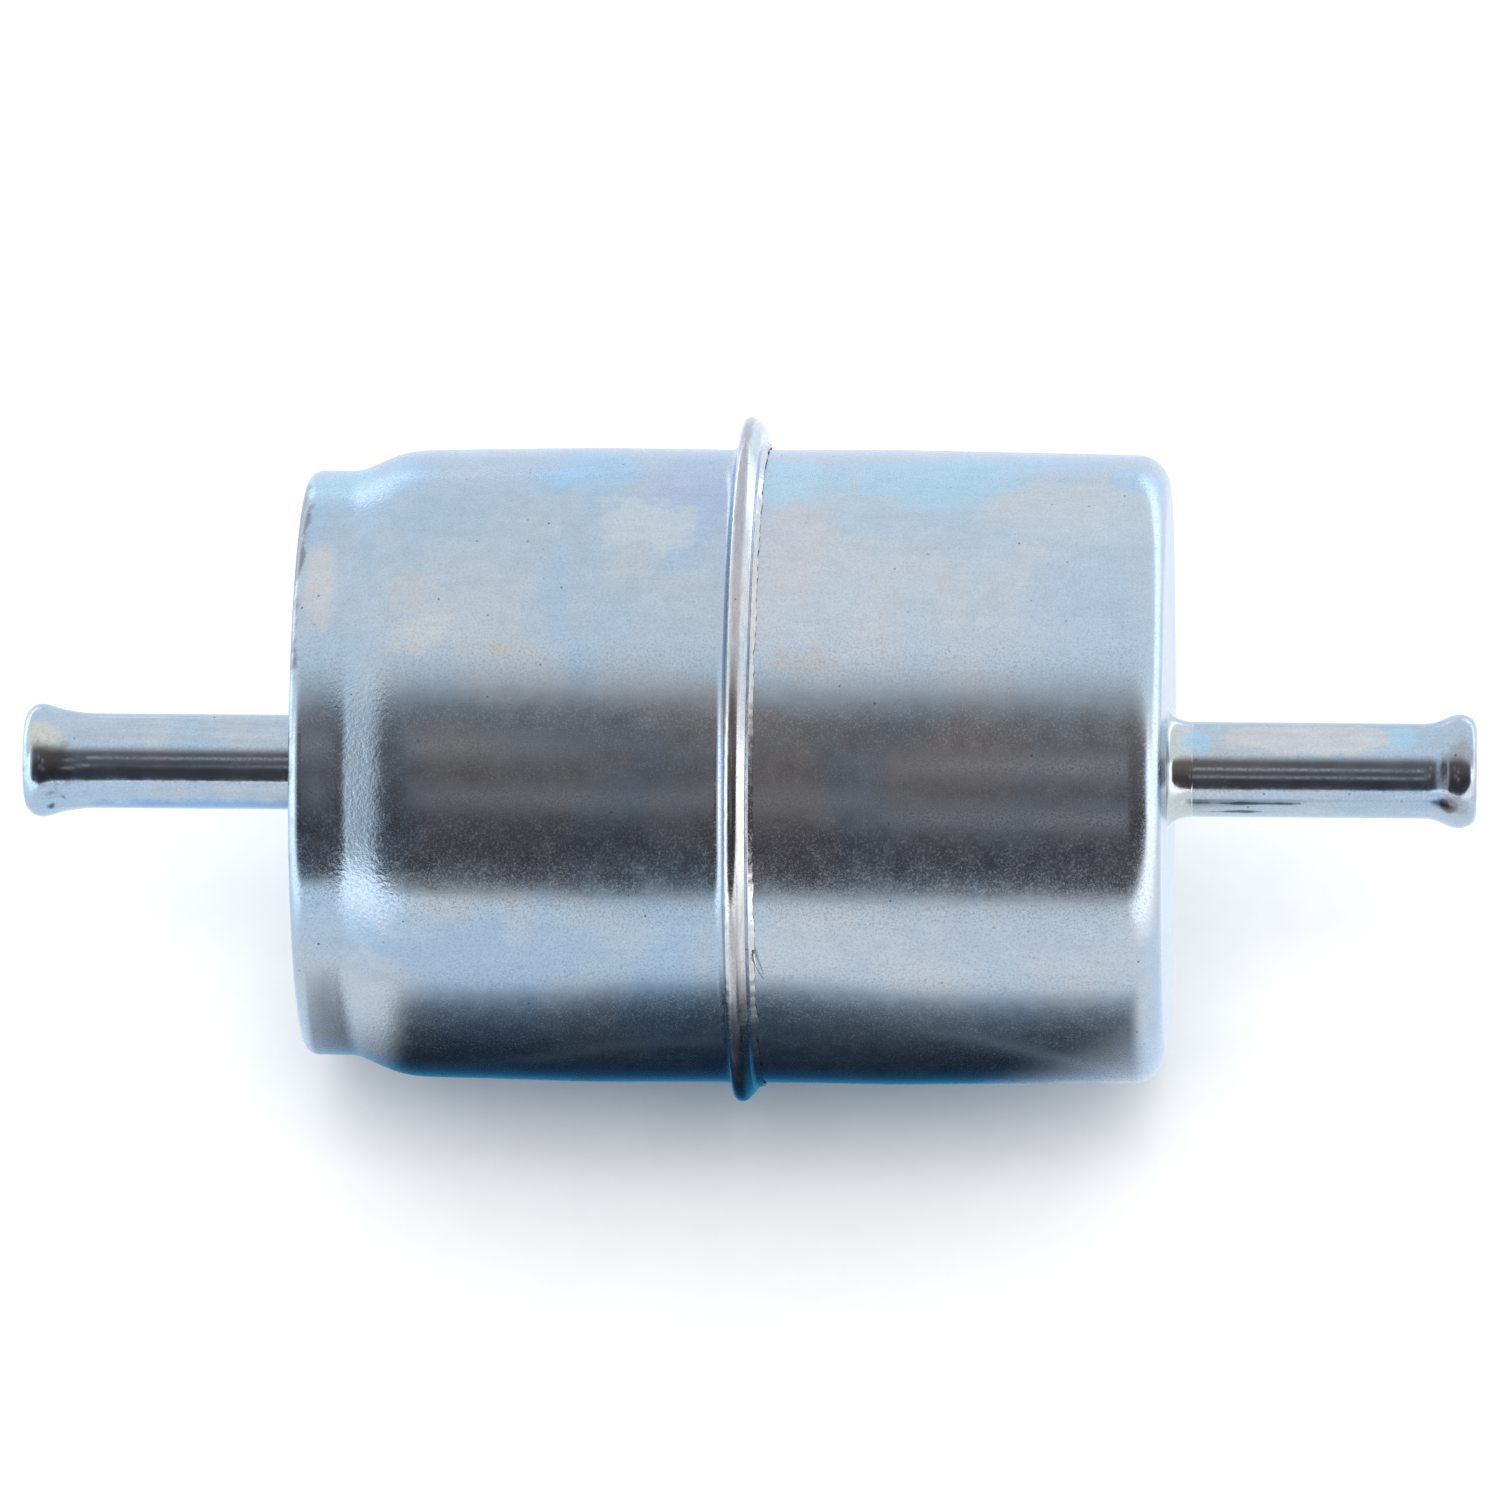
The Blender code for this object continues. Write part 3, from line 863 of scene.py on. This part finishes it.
    def build(self, cup: ZincPlate, rolled: ZincPlate, other_cup: ZincPlate, compound: Bulk) -> None:
        """Builds and dresses the can.

        Args:
            cup: The outlet cup's finish.
            rolled: The finish of the seam's bead.
            other_cup: The inlet cup's finish.
            compound: The sealing compound.
        """
        outlet = self.outlet_cup()
        outlet.data.materials.append(cup.material())
        outlet.data.materials.append(rolled.material())
        for face in outlet.data.polygons:
            middle = face.center / MM
            on_bead = math.hypot(middle.y, middle.z) > 21.75 or middle.x - SEAM_X > 0.3
            face.material_index = int(middle.x - SEAM_X > -0.5 and on_bead)
        inlet = self.inlet_cup()
        inlet.data.materials.append(other_cup.material())
        sealant = self.sealant()
        sealant.data.materials.append(compound.material())
        burr = self.burr()
        burr.data.materials.append(outlet.data.materials[1])
        stand_in(outlet, "zinc_plated_can", "outlet_shell")
        stand_in(inlet, "zinc_plated_can", "inlet_shell")
        stand_in(sealant, "sealing_compound", "seam_sealant")
        stand_in(burr, "zinc_plated_can")


# ---------------------------------------------------------------- the spigots


@dataclass
class Spigot:
    """A hose spigot: flange inside the can, straight tube, and a rolled bead at its free end."""

    end: End
    face: float
    tip: float
    bead: tuple[Point, ...]
    radius: float = 3.175
    bore: float = 2.375
    flange_radius: float = 4.575
    braze_leg: float = 1.7
    braze_rise: float = 1.0
    dents: tuple[tuple[float, float, float, float], ...] = ()
    sides: int = 200

    def along(self, section: Sequence[Vector]) -> list[Vector]:
        """Points a section that is drawn towards +X the way this spigot's end points.

        Args:
            section: The section.

        Returns:
            The turned section.
        """
        way = self.end.value
        return [Vector((way * p.x, p.y)) for p in section]

    def tube(self) -> bpy.types.Object:
        """Builds the tube.

        Returns:
            The piece.
        """
        inner = self.face - SHEET - 0.3
        curve = smooth_curve([(self.tip - d, r) for d, r in reversed(self.bead)], 0.1)
        corners = [
            (self.tip, self.bead[0][1], 0),
            (self.tip + 0.02, 2.9, 0.2),
            (self.tip - 0.05, self.bore, 0.22),
            (self.tip - 1.0, self.bore, 0),
        ]
        mouth = path_through(corners, math.radians(15))
        back = [
            Vector((inner - 0.3, self.bore)),
            Vector((inner - 0.6, self.bore + 0.3)),
            Vector((inner - 0.6, self.flange_radius)),
            Vector((inner, self.flange_radius)),
            Vector((inner, self.radius)),
        ]
        start = self.tip - self.bead[-1][0]
        straight = split_long([Vector((inner, self.radius)), Vector((start, self.radius))], 0.8)
        section = back + straight[1:-1] + curve + mouth[1:]
        return turned(f"{self.end.label}_tube", self.along(section), self.sides, self.moved)

    def moved(self, at: Vector, radius: float, angle: float) -> Vector:
        """Where a point of the tube lies, with small dents and an uneven rolled end.

        Args:
            at: The point on the true turned shape, in mm.
            radius: Its radius.
            angle: Its angle round the axis in degrees.

        Returns:
            The point on the real tube.
        """
        if radius < self.radius - 0.01 or abs(at.x) < self.face + 0.5:
            return at
        out = Vector((0, at.y, at.z)).normalized()
        near_tip = ramp(abs(at.x), self.tip - 4, self.tip - 1)
        at = at + out * (0.006 + 0.022 * near_tip) * noise.noise(at / 1.7)
        for x, turn, reach, depth in self.dents:
            away = math.radians((angle - turn + 180) % 360 - 180) * radius
            gap = math.hypot(abs(at.x) - x, away) / reach
            if gap < 1.6:
                rim = 0.25 * math.exp(-(((gap - 1.15) / 0.22) ** 2))
                at = at + out * depth * (rim - (1 - ramp(gap, 0.0, 1.1)))
        return at

    def braze(self) -> bpy.types.Object:
        """Builds the brazed fillet at the spigot's root.

        Returns:
            The piece.
        """
        curve = []
        for k in range(25):
            turn = math.radians(90 * k / 24)
            along = self.face - 0.04 + self.braze_leg * (1 - math.sin(turn))
            curve.append(Vector((along, self.radius + 0.01 + self.braze_rise * (1 - math.cos(turn)))))
        hidden = [
            Vector((self.face - 0.1, self.radius + self.braze_rise)),
            Vector((self.face - 0.1, self.radius - 0.05)),
            Vector((self.face + self.braze_leg, self.radius - 0.05)),
        ]
        section = self.along(hidden + curve)
        return turned(f"{self.end.label}_fillet", section, 160, self.uneven, sharp=60.0)

    def uneven(self, at: Vector, radius: float, angle: float) -> Vector:
        """Where a point of the fillet lies: the braze ran a little further in some places.

        Args:
            at: The point on the true turned shape, in mm.
            radius: Its radius.
            angle: Its angle round the axis in degrees.

        Returns:
            The point on the real fillet.
        """
        share = ramp(radius, self.radius + 0.03, self.radius + self.braze_rise)
        turn = around_axis(angle) + Vector((0, 0, self.end.value * 4.0))
        run = 0.5 * noise.noise(turn * 1.3) + 0.25 * noise.noise(turn * 4.0)
        out = Vector((0, at.y, at.z)).normalized()
        return at + out * 0.3 * self.braze_rise * run * share

    def build(self, finish: ZincPlate, braze: ZincPlate) -> None:
        """Builds and dresses the spigot.

        Args:
            finish: The tube's finish.
            braze: The fillet's finish.
        """
        tube = self.tube()
        tube.data.materials.append(finish.material())
        fillet = self.braze()
        fillet.data.materials.append(braze.material())
        stand_in(tube, "zinc_plated_tube", f"{self.end.label}_spigot")
        stand_in(fillet, "plated_braze", f"{self.end.label}_braze")


# ---------------------------------------------------------------- the element


@dataclass
class Element:
    """The filter element inside the can: CAD nodes that keep their shape and get their real finishes."""

    finishes: dict[Bulk, tuple[str, ...]] = field(default_factory=dict)

    def dress(self) -> None:
        """Gives every inner CAD node its finish."""
        for finish, nodes in self.finishes.items():
            made = finish.material()
            for name in nodes:
                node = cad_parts[name]
                node.data.materials.clear()
                node.data.materials.append(made)
                log.info("%s: finish %s", name, finish.name)


# ---------------------------------------------------------------- the studio

# The dome's light: its hue, and how dark it is low in front and higher up
COOL = (0.95, 0.98, 1.0)
DARK = (0.088, 0.078, 0.088, 1.0)
DIM = (0.235, 0.2, 0.188, 1.0)
# Painted reflection of the table on a glowing card, with the filter's painted shadow: how bright it
# looks from the metal, by the distance in mm behind the filter's axis
SHADOW = (
    (-60.0, (0.93, 0.97, 1.0)),
    (-51.0, (0.90, 0.95, 1.0)),
    (-46.0, (0.50, 0.58, 0.66)),
    (-41.0, (0.22, 0.28, 0.34)),
    (-33.0, (0.08, 0.105, 0.135)),
    (-25.0, (0.025, 0.035, 0.05)),
    (-18.0, (0.01, 0.02, 0.035)),
    (-14.5, (0.01, 0.07, 0.15)),
    (-11.0, (0.03, 0.26, 0.42)),
    (-4.0, (0.30, 0.38, 0.45)),
    (12.0, (0.86, 0.90, 0.93)),
    (60.0, (1.0, 1.0, 1.0)),
)
# The painted shadow reaches further forward by the seam: x, half width and reach, and the y where that
# sets in
SHADOW_BULGE = (-3.0, 11.0, 9.0)
BULGE_START = (-24.0, -42.0)
# The painted shadow ends past these x on the left and, slanting with y, on the right, and the open
# table's painted light
SHADOW_LEFT = (-24.0, -36.0)
SHADOW_RIGHT = (8.0, 26.0)
SHADOW_SLANT = 0.45
OPEN_TABLE = (0.93, 0.97, 1.0, 1.0)
# The table's painted reflection further out, from these distances along x
FAR = (60.0, 130.0)
FAR_TABLE = (1.7, 1.75, 1.8, 1.0)
# Faint painted lines of light on the table card under the can: two ends, strength, half width, and reach
# along x
GLINTS = (
    ((-15.4, -20.5), (-9.0, -25.5), 0.07, 0.9, 6.0),
    ((-9.0, -25.7), (-2.0, -27.2), 0.09, 0.8, 5.0),
    ((12.0, -31.5), (17.0, -26.8), 0.10, 1.3, 4.0),
    ((16.0, -28.0), (22.6, -19.5), 0.22, 1.2, 5.0),
)
GLINT = (0.7, 0.9, 1.0, 1.0)
# The sheen card's corners and its soft spots: x and height of each, its reach both ways, its strength
GLOW_CORNERS = ((-0.1, -0.07), (0.1, -0.07), (0.1, 0.15), (-0.1, 0.15))
GLOWS = (
    (-14.0, 15.0, 9.0, 15.0, 0.42),
    (-40.0, 15.0, 14.0, 15.0, 0.45),
    (3.7, 22.0, 2.6, 15.0, 0.35),
    (14.0, -12.0, 12.0, 15.0, 0.5),
    (40.0, -12.0, 14.0, 15.0, 0.5),
    (-52.0, 100.0, 16.0, 17.0, 0.55),
    (28.0, 70.0, 16.0, 16.0, 0.6),
)


@dataclass
class Studio:
    """A white table under a large soft light that reaches from overhead to behind, and the camera."""

    elevation: float = 49.0
    off_square: float = 2.8
    roll: float = 2.77
    distance: float = 1.2
    lens: float = 432.0
    above_axis_mm: float = 1.05
    light: float = 1.3
    side_light: float = 0.9
    edge_light: float = 3.0
    card_light: float = 1.3
    fill_watts: float = 26.0
    fill_size: float = 1.6
    fill_place: Corner = (0.1, -0.9, 1.5)
    sheen_elevation: float = 34.0
    sheen_distance: float = 0.25

    def camera(self) -> None:
        """Places the camera."""
        lift = math.radians(self.elevation)
        azimuth = math.asin(math.sin(math.radians(self.off_square)) / math.cos(lift))
        right = Vector((math.cos(azimuth), math.sin(azimuth), 0))
        level = Vector((math.sin(azimuth), -math.cos(azimuth), 0))
        way = level * math.cos(lift) + Vector((0, 0, math.sin(lift)))
        up = way.cross(right)
        turn = Matrix((right, up, way)).transposed()
        turn = turn @ Matrix.Rotation(math.radians(-self.roll), 3, "Z")
        up = turn.col[1]
        data = bpy.data.cameras.new("camera")
        data.lens = self.lens
        data.sensor_width = 36.0
        data.clip_end = 20.0
        camera = bpy.data.objects.new("camera", data)
        bpy.context.collection.objects.link(camera)
        place = Matrix.Translation(up * self.above_axis_mm * MM + way * self.distance)
        camera.matrix_world = place @ turn.to_4x4()
        bpy.context.scene.camera = camera

    def light_dome(self) -> None:
        """Lights the scene from a dome: bright overhead, behind and at the sides, dim in front."""
        world = bpy.data.worlds.new("soft_light")
        bpy.context.scene.world = world
        g = empty_graph(world)
        way = g.add("SeparateXYZ", {0: g.add("TexCoord", out="Generated")}).node
        front = g.add("Math", {0: way.outputs[1], 1: -1.0}, operation="MULTIPLY")
        turn = g.add("Math", {0: way.outputs[2], 1: front}, operation="ARCTAN2")
        height = g.add("Math", {0: turn, 1: 180 / math.pi}, operation="MULTIPLY")
        side, edge, top = (
            tuple(level * c for c in COOL) + (1.0,)
            for level in (self.side_light, self.edge_light, self.light)
        )
        # What a zone goes by (degrees up from the front, or x), where it starts and is full, its light
        zones = (
            (height, 22.0, 60.0, DIM),
            (way.outputs[0], -0.56, -0.76, side),
            (way.outputs[0], -0.78, -0.95, edge),
            (way.outputs[0], 0.9, 0.985, edge),
            (height, 64.0, 90.0, top),
        )
        colour = DARK
        for measure, start, full, light in zones:
            share = g.add("MapRange", {0: measure, 1: start, 2: full}, **SMOOTH)
            colour = g.add("Mix", {0: share, 6: colour, 7: light}, **COLOUR_MIX)
        g.add("OutputWorld", {0: g.add("Background", {0: colour})})

    def fill_light(self) -> None:
        """Hangs a large soft lamp over the table. The polished metal doesn't mirror it."""
        lamp = bpy.data.lights.new("table_lamp", "AREA")
        lamp.shape = "DISK"
        lamp.size = self.fill_size
        lamp.energy = self.fill_watts
        hung = bpy.data.objects.new("table_lamp", lamp)
        hung.location = self.fill_place
        hung.rotation_euler.x = math.atan2(-self.fill_place[1], self.fill_place[2])
        hung.visible_glossy = False
        bpy.context.collection.objects.link(hung)

    def flat(self, name: str, corners: Sequence[Vector]) -> bpy.types.Object:
        """Makes a flat four-cornered stage piece.

        Args:
            name: Its name.
            corners: Its corners in metres.

        Returns:
            The stage piece.
        """
        bm = bmesh.new()
        bm.faces.new([bm.verts.new(c) for c in corners])
        bmesh.ops.subdivide_edges(bm, edges=bm.edges, cuts=3, use_grid_fill=True)
        piece = piece_of(bm, name)
        return piece

    def mirrored_only(self, piece: bpy.types.Object) -> None:
        """Lets a piece show only in polished metal, as a card set up beside the lens does.

        Args:
            piece: The piece.
        """
        for kind in ("camera", "diffuse", "shadow", "transmission", "volume_scatter"):
            setattr(piece, f"visible_{kind}", False)

    def floor(self, height_mm: float) -> None:
        """Lays the white table under the filter, and a glowing card that stands for it in the metal,
        carrying a painted shadow and painted lines of light.

        Args:
            height_mm: Where its surface is.
        """
        z = height_mm * MM
        square = ((-4, -4), (4, -4), (4, 4), (-4, 4))
        table = self.flat("table", [Vector((x, y, z)) for x, y in square])
        white = Bulk("matt_white_laminate", "#F4F5F6", "#F0F1F2", 0.0, 0.75, 3.0, 10.0)
        table.data.materials.append(white.material())
        table.visible_glossy = False
        # A glowing card, seen only in the metal, that carries the table's painted reflection and the
        # filter's painted shadow
        card = self.flat("table_reflection_card", [Vector((x, y, z + 0.02 * MM)) for x, y in square])
        card.data.materials.append(self.painted_table_reflection())
        self.mirrored_only(card)

    def painted_table_reflection(self) -> bpy.types.Material:
        """The table card's painted reflection: bright in front, falling to a painted shadow of the
        filter, and lighter behind.

        Returns:
            The material.
        """
        made = bpy.data.materials.new("table_reflection_card")
        g = empty_graph(made)
        here = g.add("TexCoord", out="Object")
        mm = g.add("VectorMath", {0: here, "Scale": 1000.0}, operation="SCALE")
        at = g.add("SeparateXYZ", {0: mm}).node
        x, y = at.outputs[0], at.outputs[1]
        # The filter's painted shadow, reaching further forward by the seam
        middle, width, reach = SHADOW_BULGE
        front = g.add("MapRange", {0: y, 1: BULGE_START[0], 2: BULGE_START[1]}, **SMOOTH)
        bulge = g.add("Math", {0: bell(g, x, middle, width), 1: front}, operation="MULTIPLY")
        shifted = g.add("Math", {0: bulge, 1: reach, 2: y}, operation="MULTIPLY_ADD")
        colour = self.table_ramp(g, shifted, SHADOW)
        # Painted lines of light laid over the painted shadow
        for start, end, level, width, reach in GLINTS:
            slope = (end[1] - start[1]) / (end[0] - start[0])
            line = g.add("Math", {0: x, 1: -slope, 2: y}, operation="MULTIPLY_ADD")
            across = bell(g, line, start[1] - slope * start[0], width)
            along = bell(g, x, (start[0] + end[0]) / 2, reach)
            glint = g.add("Math", {0: across, 1: along}, operation="MULTIPLY")
            glint = g.add("Math", {0: glint, 1: level}, operation="MULTIPLY")
            colour = g.add("Mix", {0: glint, 6: colour, 7: GLINT}, **COLOUR_MIX)
        # Past the painted shadow's ends, the open table's painted light, and brighter painted table
        # further out
        slant = g.add("Math", {0: y, 1: SHADOW_SLANT, 2: x}, operation="MULTIPLY_ADD")
        right = g.add("MapRange", {0: slant, 1: SHADOW_RIGHT[0], 2: SHADOW_RIGHT[1]}, **SMOOTH)
        left = g.add("MapRange", {0: x, 1: SHADOW_LEFT[0], 2: SHADOW_LEFT[1]}, **SMOOTH)
        beyond = g.add("Math", {0: left, 1: right}, operation="MAXIMUM")
        colour = g.add("Mix", {0: beyond, 6: colour, 7: OPEN_TABLE}, **COLOUR_MIX)
        away = g.add("Math", {0: x}, operation="ABSOLUTE")
        far = g.add("MapRange", {0: away, 1: FAR[0], 2: FAR[1]}, **SMOOTH)
        colour = g.add("Mix", {0: far, 6: colour, 7: FAR_TABLE}, **COLOUR_MIX)
        g.add("OutputMaterial", {0: g.add("Emission", {0: colour, 1: self.card_light})})
        return made

    def table_ramp(
        self, g: Graph, value: Socket, table: Sequence[tuple[float, Corner]]
    ) -> Socket:
        """A colour looked up in a table.

        Args:
            g: The material's graph.
            value: What is looked up.
            table: Values, rising, and their linear colours.

        Returns:
            The colour.
        """
        low, high = table[0][0], table[-1][0]
        share = g.add("MapRange", {0: value, 1: low, 2: high})
        made = g.add("ValToRGB", {0: share})
        fill_ramp(made.node, [((at - low) / (high - low), colour) for at, colour in table])
        return made

    def glow_card(self) -> None:
        """Hangs a faint soft card in front, which puts a low sheen in the dark of the metal."""
        lift = math.radians(self.sheen_elevation)
        way = Vector((0, -math.cos(lift), math.sin(lift)))
        up = Vector((0, math.sin(lift), math.cos(lift)))
        middle = way * self.sheen_distance
        corners = [middle + Vector((x, 0, 0)) + up * h for x, h in GLOW_CORNERS]
        card = self.flat("sheen_card", corners)
        made = bpy.data.materials.new("sheen_card")
        g = empty_graph(made)
        at = g.add("TexCoord", out="Object")
        off = g.add("VectorMath", {0: at, 1: tuple(middle)}, operation="SUBTRACT")
        height = g.add("VectorMath", {0: off, 1: tuple(up)}, out="Value", operation="DOT_PRODUCT")
        place = g.add("CombineXYZ", {0: g.add("SeparateXYZ", {0: at}), 1: height})
        total = None
        for cx, cy, rx, ry, level in GLOWS:
            gap = g.add("VectorMath", {0: place, 1: (cx * MM, cy * MM, 0)}, operation="SUBTRACT")
            share = (1 / (rx * MM), 1 / (ry * MM), 0)
            gap = g.add("VectorMath", {0: gap, 1: share}, operation="MULTIPLY")
            gap = g.add("VectorMath", {0: gap, 1: gap}, out="Value", operation="DOT_PRODUCT")
            soft = g.add("Math", {0: faded(g, gap), 1: level}, operation="MULTIPLY")
            total = g.add("Math", {0: total, 1: soft}, operation="ADD") if total else soft
        light = g.add("Emission", {0: (1.0, 0.99, 1.0, 1.0), 1: total})
        g.add("OutputMaterial", {0: g.add("AddShader", {0: light, 1: g.add("BsdfTransparent")})})
        card.data.materials.append(made)
        self.mirrored_only(card)

    def view(self) -> None:
        """Shows the light as it is, so that the white table stays white."""
        bpy.context.scene.view_settings.view_transform = "Standard"


# ---------------------------------------------------------------- what this filter is made of

# Where the passivate film is thick it turns sky blue or lavender, where it is thin cream or pale grey.
OUTLET_STAINS = (
    Stain(-9.6, 117.5, 3.6, 8.6, "#93B3CC", 0.7),
    Stain(-4.0, 109.4, 2.9, 16.6, "#9EAAC3", 0.7),
    Stain(-6.3, 97.7, 2.8, 7.8, "#B0BAC0", 0.75, 0.2, 0.9),
    Stain(-20.2, 74.4, 2.8, 5.2, "#B5B7BA", 0.7, 0.3, 0.9),
    Stain(-21.5, 82.5, 2.0, 4.0, "#B1B2B5", 0.6, 0.3, 0.9),
    Stain(-15.4, 70.2, 3.2, 1.8, "#AEACAA", 0.6, 0.4, 0.9),
    Stain(-27.3, 121.2, 2.7, 8.8, "#9ABCCE", 0.7),
    Stain(-27.7, 86.3, 1.1, 9.5, "#BDBAB9", 0.6),
    Stain(-23.3, 116.9, 2.0, 8.6, "#98B1C9", 0.6),
    Stain(-16.3, 122.3, 4.0, 5.3, "#ACB1BA", 0.5),
    Stain(-17.2, 10.4, 8.0, 7.0, "#91A5BC", 0.5, 0.6),
    # A dark ragged line along the top of the outlet end's rim
    Stain(-29.45, 103.0, 0.4, 32.0, "#6F6A69", 0.75, 0.5, 1.4),
)
INLET_STAINS = (
    Stain(13.1, 115.0, 7.0, 9.7, "#9CBDD0", 0.7),
    Stain(3.1, 113.6, 1.8, 11.3, "#A2C0D0", 0.7),
    Stain(3.6, 92.0, 2.3, 12.2, "#B5B4BA", 0.7, 0.2, 0.6),
    Stain(22.6, 101.4, 4.7, 6.7, "#B0BAC3", 0.6),
    Stain(25.7, 116.3, 2.0, 6.0, "#9DB7CC", 0.6),
    Stain(4.3, 68.2, 2.5, 1.9, "#AEACAB", 0.6, 0.4, 0.9),
    Stain(14.9, 15.9, 8.7, 6.1, "#9FACBC", 0.5, 0.6),
)
OUTLET_TUBE_STAINS = (
    Stain(-46.9, 78.3, 1.1, 16.0, "#B9B7B0", 0.8, 0.35, 0.9),
    Stain(-46.2, 47.2, 0.9, 17.0, "#6E645E", 0.5, 0.7, 1.6),
    Stain(-35.2, -18.9, 6.3, 14.0, "#6491BE", 0.7, 0.5),
)
INLET_TUBE_STAINS = (
    Stain(36.8, 90.8, 6.3, 24.0, "#BABABC", 0.8, 0.2),
    Stain(29.8, 86.5, 1.2, 22.8, "#95BAD0", 0.7),
    Stain(43.5, 95.3, 0.9, 18.1, "#95BAD0", 0.7),
    Stain(46.6, 10.2, 0.5, 8.3, "#51565F", 0.8),
    Stain(32.9, 4.3, 3.4, 2.4, "#2E3C4A", 0.85, 0.5, 0.8),
    Stain(32.3, -12.5, 2.2, 3.2, "#2B4356", 0.85, 0.5, 0.8),
    Stain(47.4, 45.0, 0.9, 32.0, "#8E8587", 0.6, 0.6, 1.4),
)

OUTLET_CUP = ZincPlate("zinc_plate_outlet_cup", stretched=(-24.7, 2.9), stains=OUTLET_STAINS)
INLET_CUP = ZincPlate(
    "zinc_plate_inlet_cup", "#A8B3BE", ("#A0B2C3", "#A9B4BF", "#B1B5BB"), stains=INLET_STAINS
)
# The seam's crest is painted darker all the way round: painted shade for the dark that the crest
# reflects.
SEAM_CREST_SHADE = (Stain(-0.02, 0.0, 0.3, 900.0, "#8C8587", 0.6, 0.5, 0.12),)
ROLLED_SEAM = ZincPlate(
    "zinc_plate_rolled_seam",
    "#BFC1C5",
    ("#B8C0C8", "#BFC1C5", "#C3C0BD"),
    0.15,
    wear=Wear.ROLLED,
    stains=SEAM_CREST_SHADE,
)
OUTLET_TUBE = ZincPlate(
    "zinc_plate_outlet_tube", roughness=0.12, sparkle=0.1, wear=Wear.HANDLED, stains=OUTLET_TUBE_STAINS
)
INLET_TUBE = ZincPlate(
    "zinc_plate_inlet_tube", roughness=0.12, sparkle=0.1, wear=Wear.HANDLED, stains=INLET_TUBE_STAINS
)
OUTLET_BRAZE = ZincPlate("zinc_plate_outlet_braze", "#AAB5BE", ("#A0B1C0", "#ABB7BF", "#B9BCB8"), 0.14)
INLET_BRAZE = ZincPlate(
    "zinc_plate_inlet_braze",
    "#A8B4BD",
    ("#A0B1C0", "#A9B5BD", "#B6BAB7"),
    0.13,
    sparkle=0.07,
    stains=INLET_TUBE_STAINS,
)
COMPOUND = Bulk("seaming_compound", "#4A2A22", "#5E382C", 0.0, 0.6, 0.4, 8.0)

TINPLATE = Bulk("tinplate", "#C4C3BC", "#B2B1AB", 1.0, 0.28, 0.5, 1.0, (0.2, 1.0, 1.0))
PLASTISOL = Bulk("cured_plastisol", "#B5642C", "#A4561F", 0.0, 0.45, 1.2, 25.0, ior=1.53)
PERFORATED = Bulk("perforated_steel", "#9A9B9C", "#86888A", 1.0, 0.38, 0.5, 1.5, (0.15, 1.0, 1.0))
PAPER = Bulk("resin_treated_paper", "#D9C08A", "#C9AD73", 0.0, 0.85, 0.35, 25.0, ior=1.5)
STRIP = Bulk("strip_steel", "#A8ABAF", "#969A9F", 1.0, 0.33, 0.5, 1.0, (0.15, 1.0, 1.0))
RUBBER = Bulk("nitrile_rubber", "#1B1B1C", "#262627", 0.0, 0.6, 0.5, 12.0, ior=1.52)
WIRE = Bulk("spring_wire", "#8E9094", "#77797E", 1.0, 0.32, 0.3, 1.5)
INNER = {
    TINPLATE: ("outlet_end_cap", "inlet_end_cap"),
    PLASTISOL: ("outlet_potting", "inlet_potting"),
    PERFORATED: ("centre_tube",),
    PAPER: ("filter_paper",),
    STRIP: ("paper_seam_clip",),
    RUBBER: ("seat_gasket",),
    WIRE: ("element_spring",),
}

# The hose beads' outlines: the distance from the tube's end and the radius
OUTLET_BEAD = (
    (0.0, 2.98), (0.1, 3.22), (0.27, 3.43), (0.53, 3.66), (0.8, 3.76), (1.07, 3.8), (1.4, 3.77),
    (1.75, 3.68), (2.1, 3.57), (2.5, 3.46), (3.0, 3.35), (3.6, 3.255), (4.3, 3.19), (5.0, 3.175),
)
INLET_BEAD = (
    (0.0, 3.02), (0.08, 3.24), (0.22, 3.45), (0.45, 3.62), (0.75, 3.75), (1.05, 3.8), (1.4, 3.78),
    (1.75, 3.7), (2.05, 3.575), (2.35, 3.44), (2.65, 3.32), (3.0, 3.225), (3.5, 3.175),
)


def main() -> None:
    """Builds the filter and its studio, in order."""
    logging.basicConfig(level=logging.INFO, format="%(name)s %(message)s")
    studio = Studio()
    studio.view()
    studio.camera()
    studio.light_dome()
    studio.fill_light()
    studio.glow_card()
    can = Can(Seam())
    can.build(OUTLET_CUP, ROLLED_SEAM, INLET_CUP, COMPOUND)
    outlet = Spigot(
        End.OUTLET,
        29.5,
        48.4,
        OUTLET_BEAD,
        braze_leg=0.8,
        braze_rise=0.7,
        dents=((46.3, -5.0, 0.6, 0.16),),
    )
    outlet.build(OUTLET_TUBE, OUTLET_BRAZE)
    inlet = Spigot(End.INLET, 27.9, 48.4, INLET_BEAD)
    inlet.build(INLET_TUBE, INLET_BRAZE)
    Element(INNER).dress()
    low = min(v.co.z for v in bpy.data.objects["drawn_outlet_cup"].data.vertices) / MM
    studio.floor(low)
    log.info("table at %.2f mm", low)


if __name__ == "__main__":
    main()
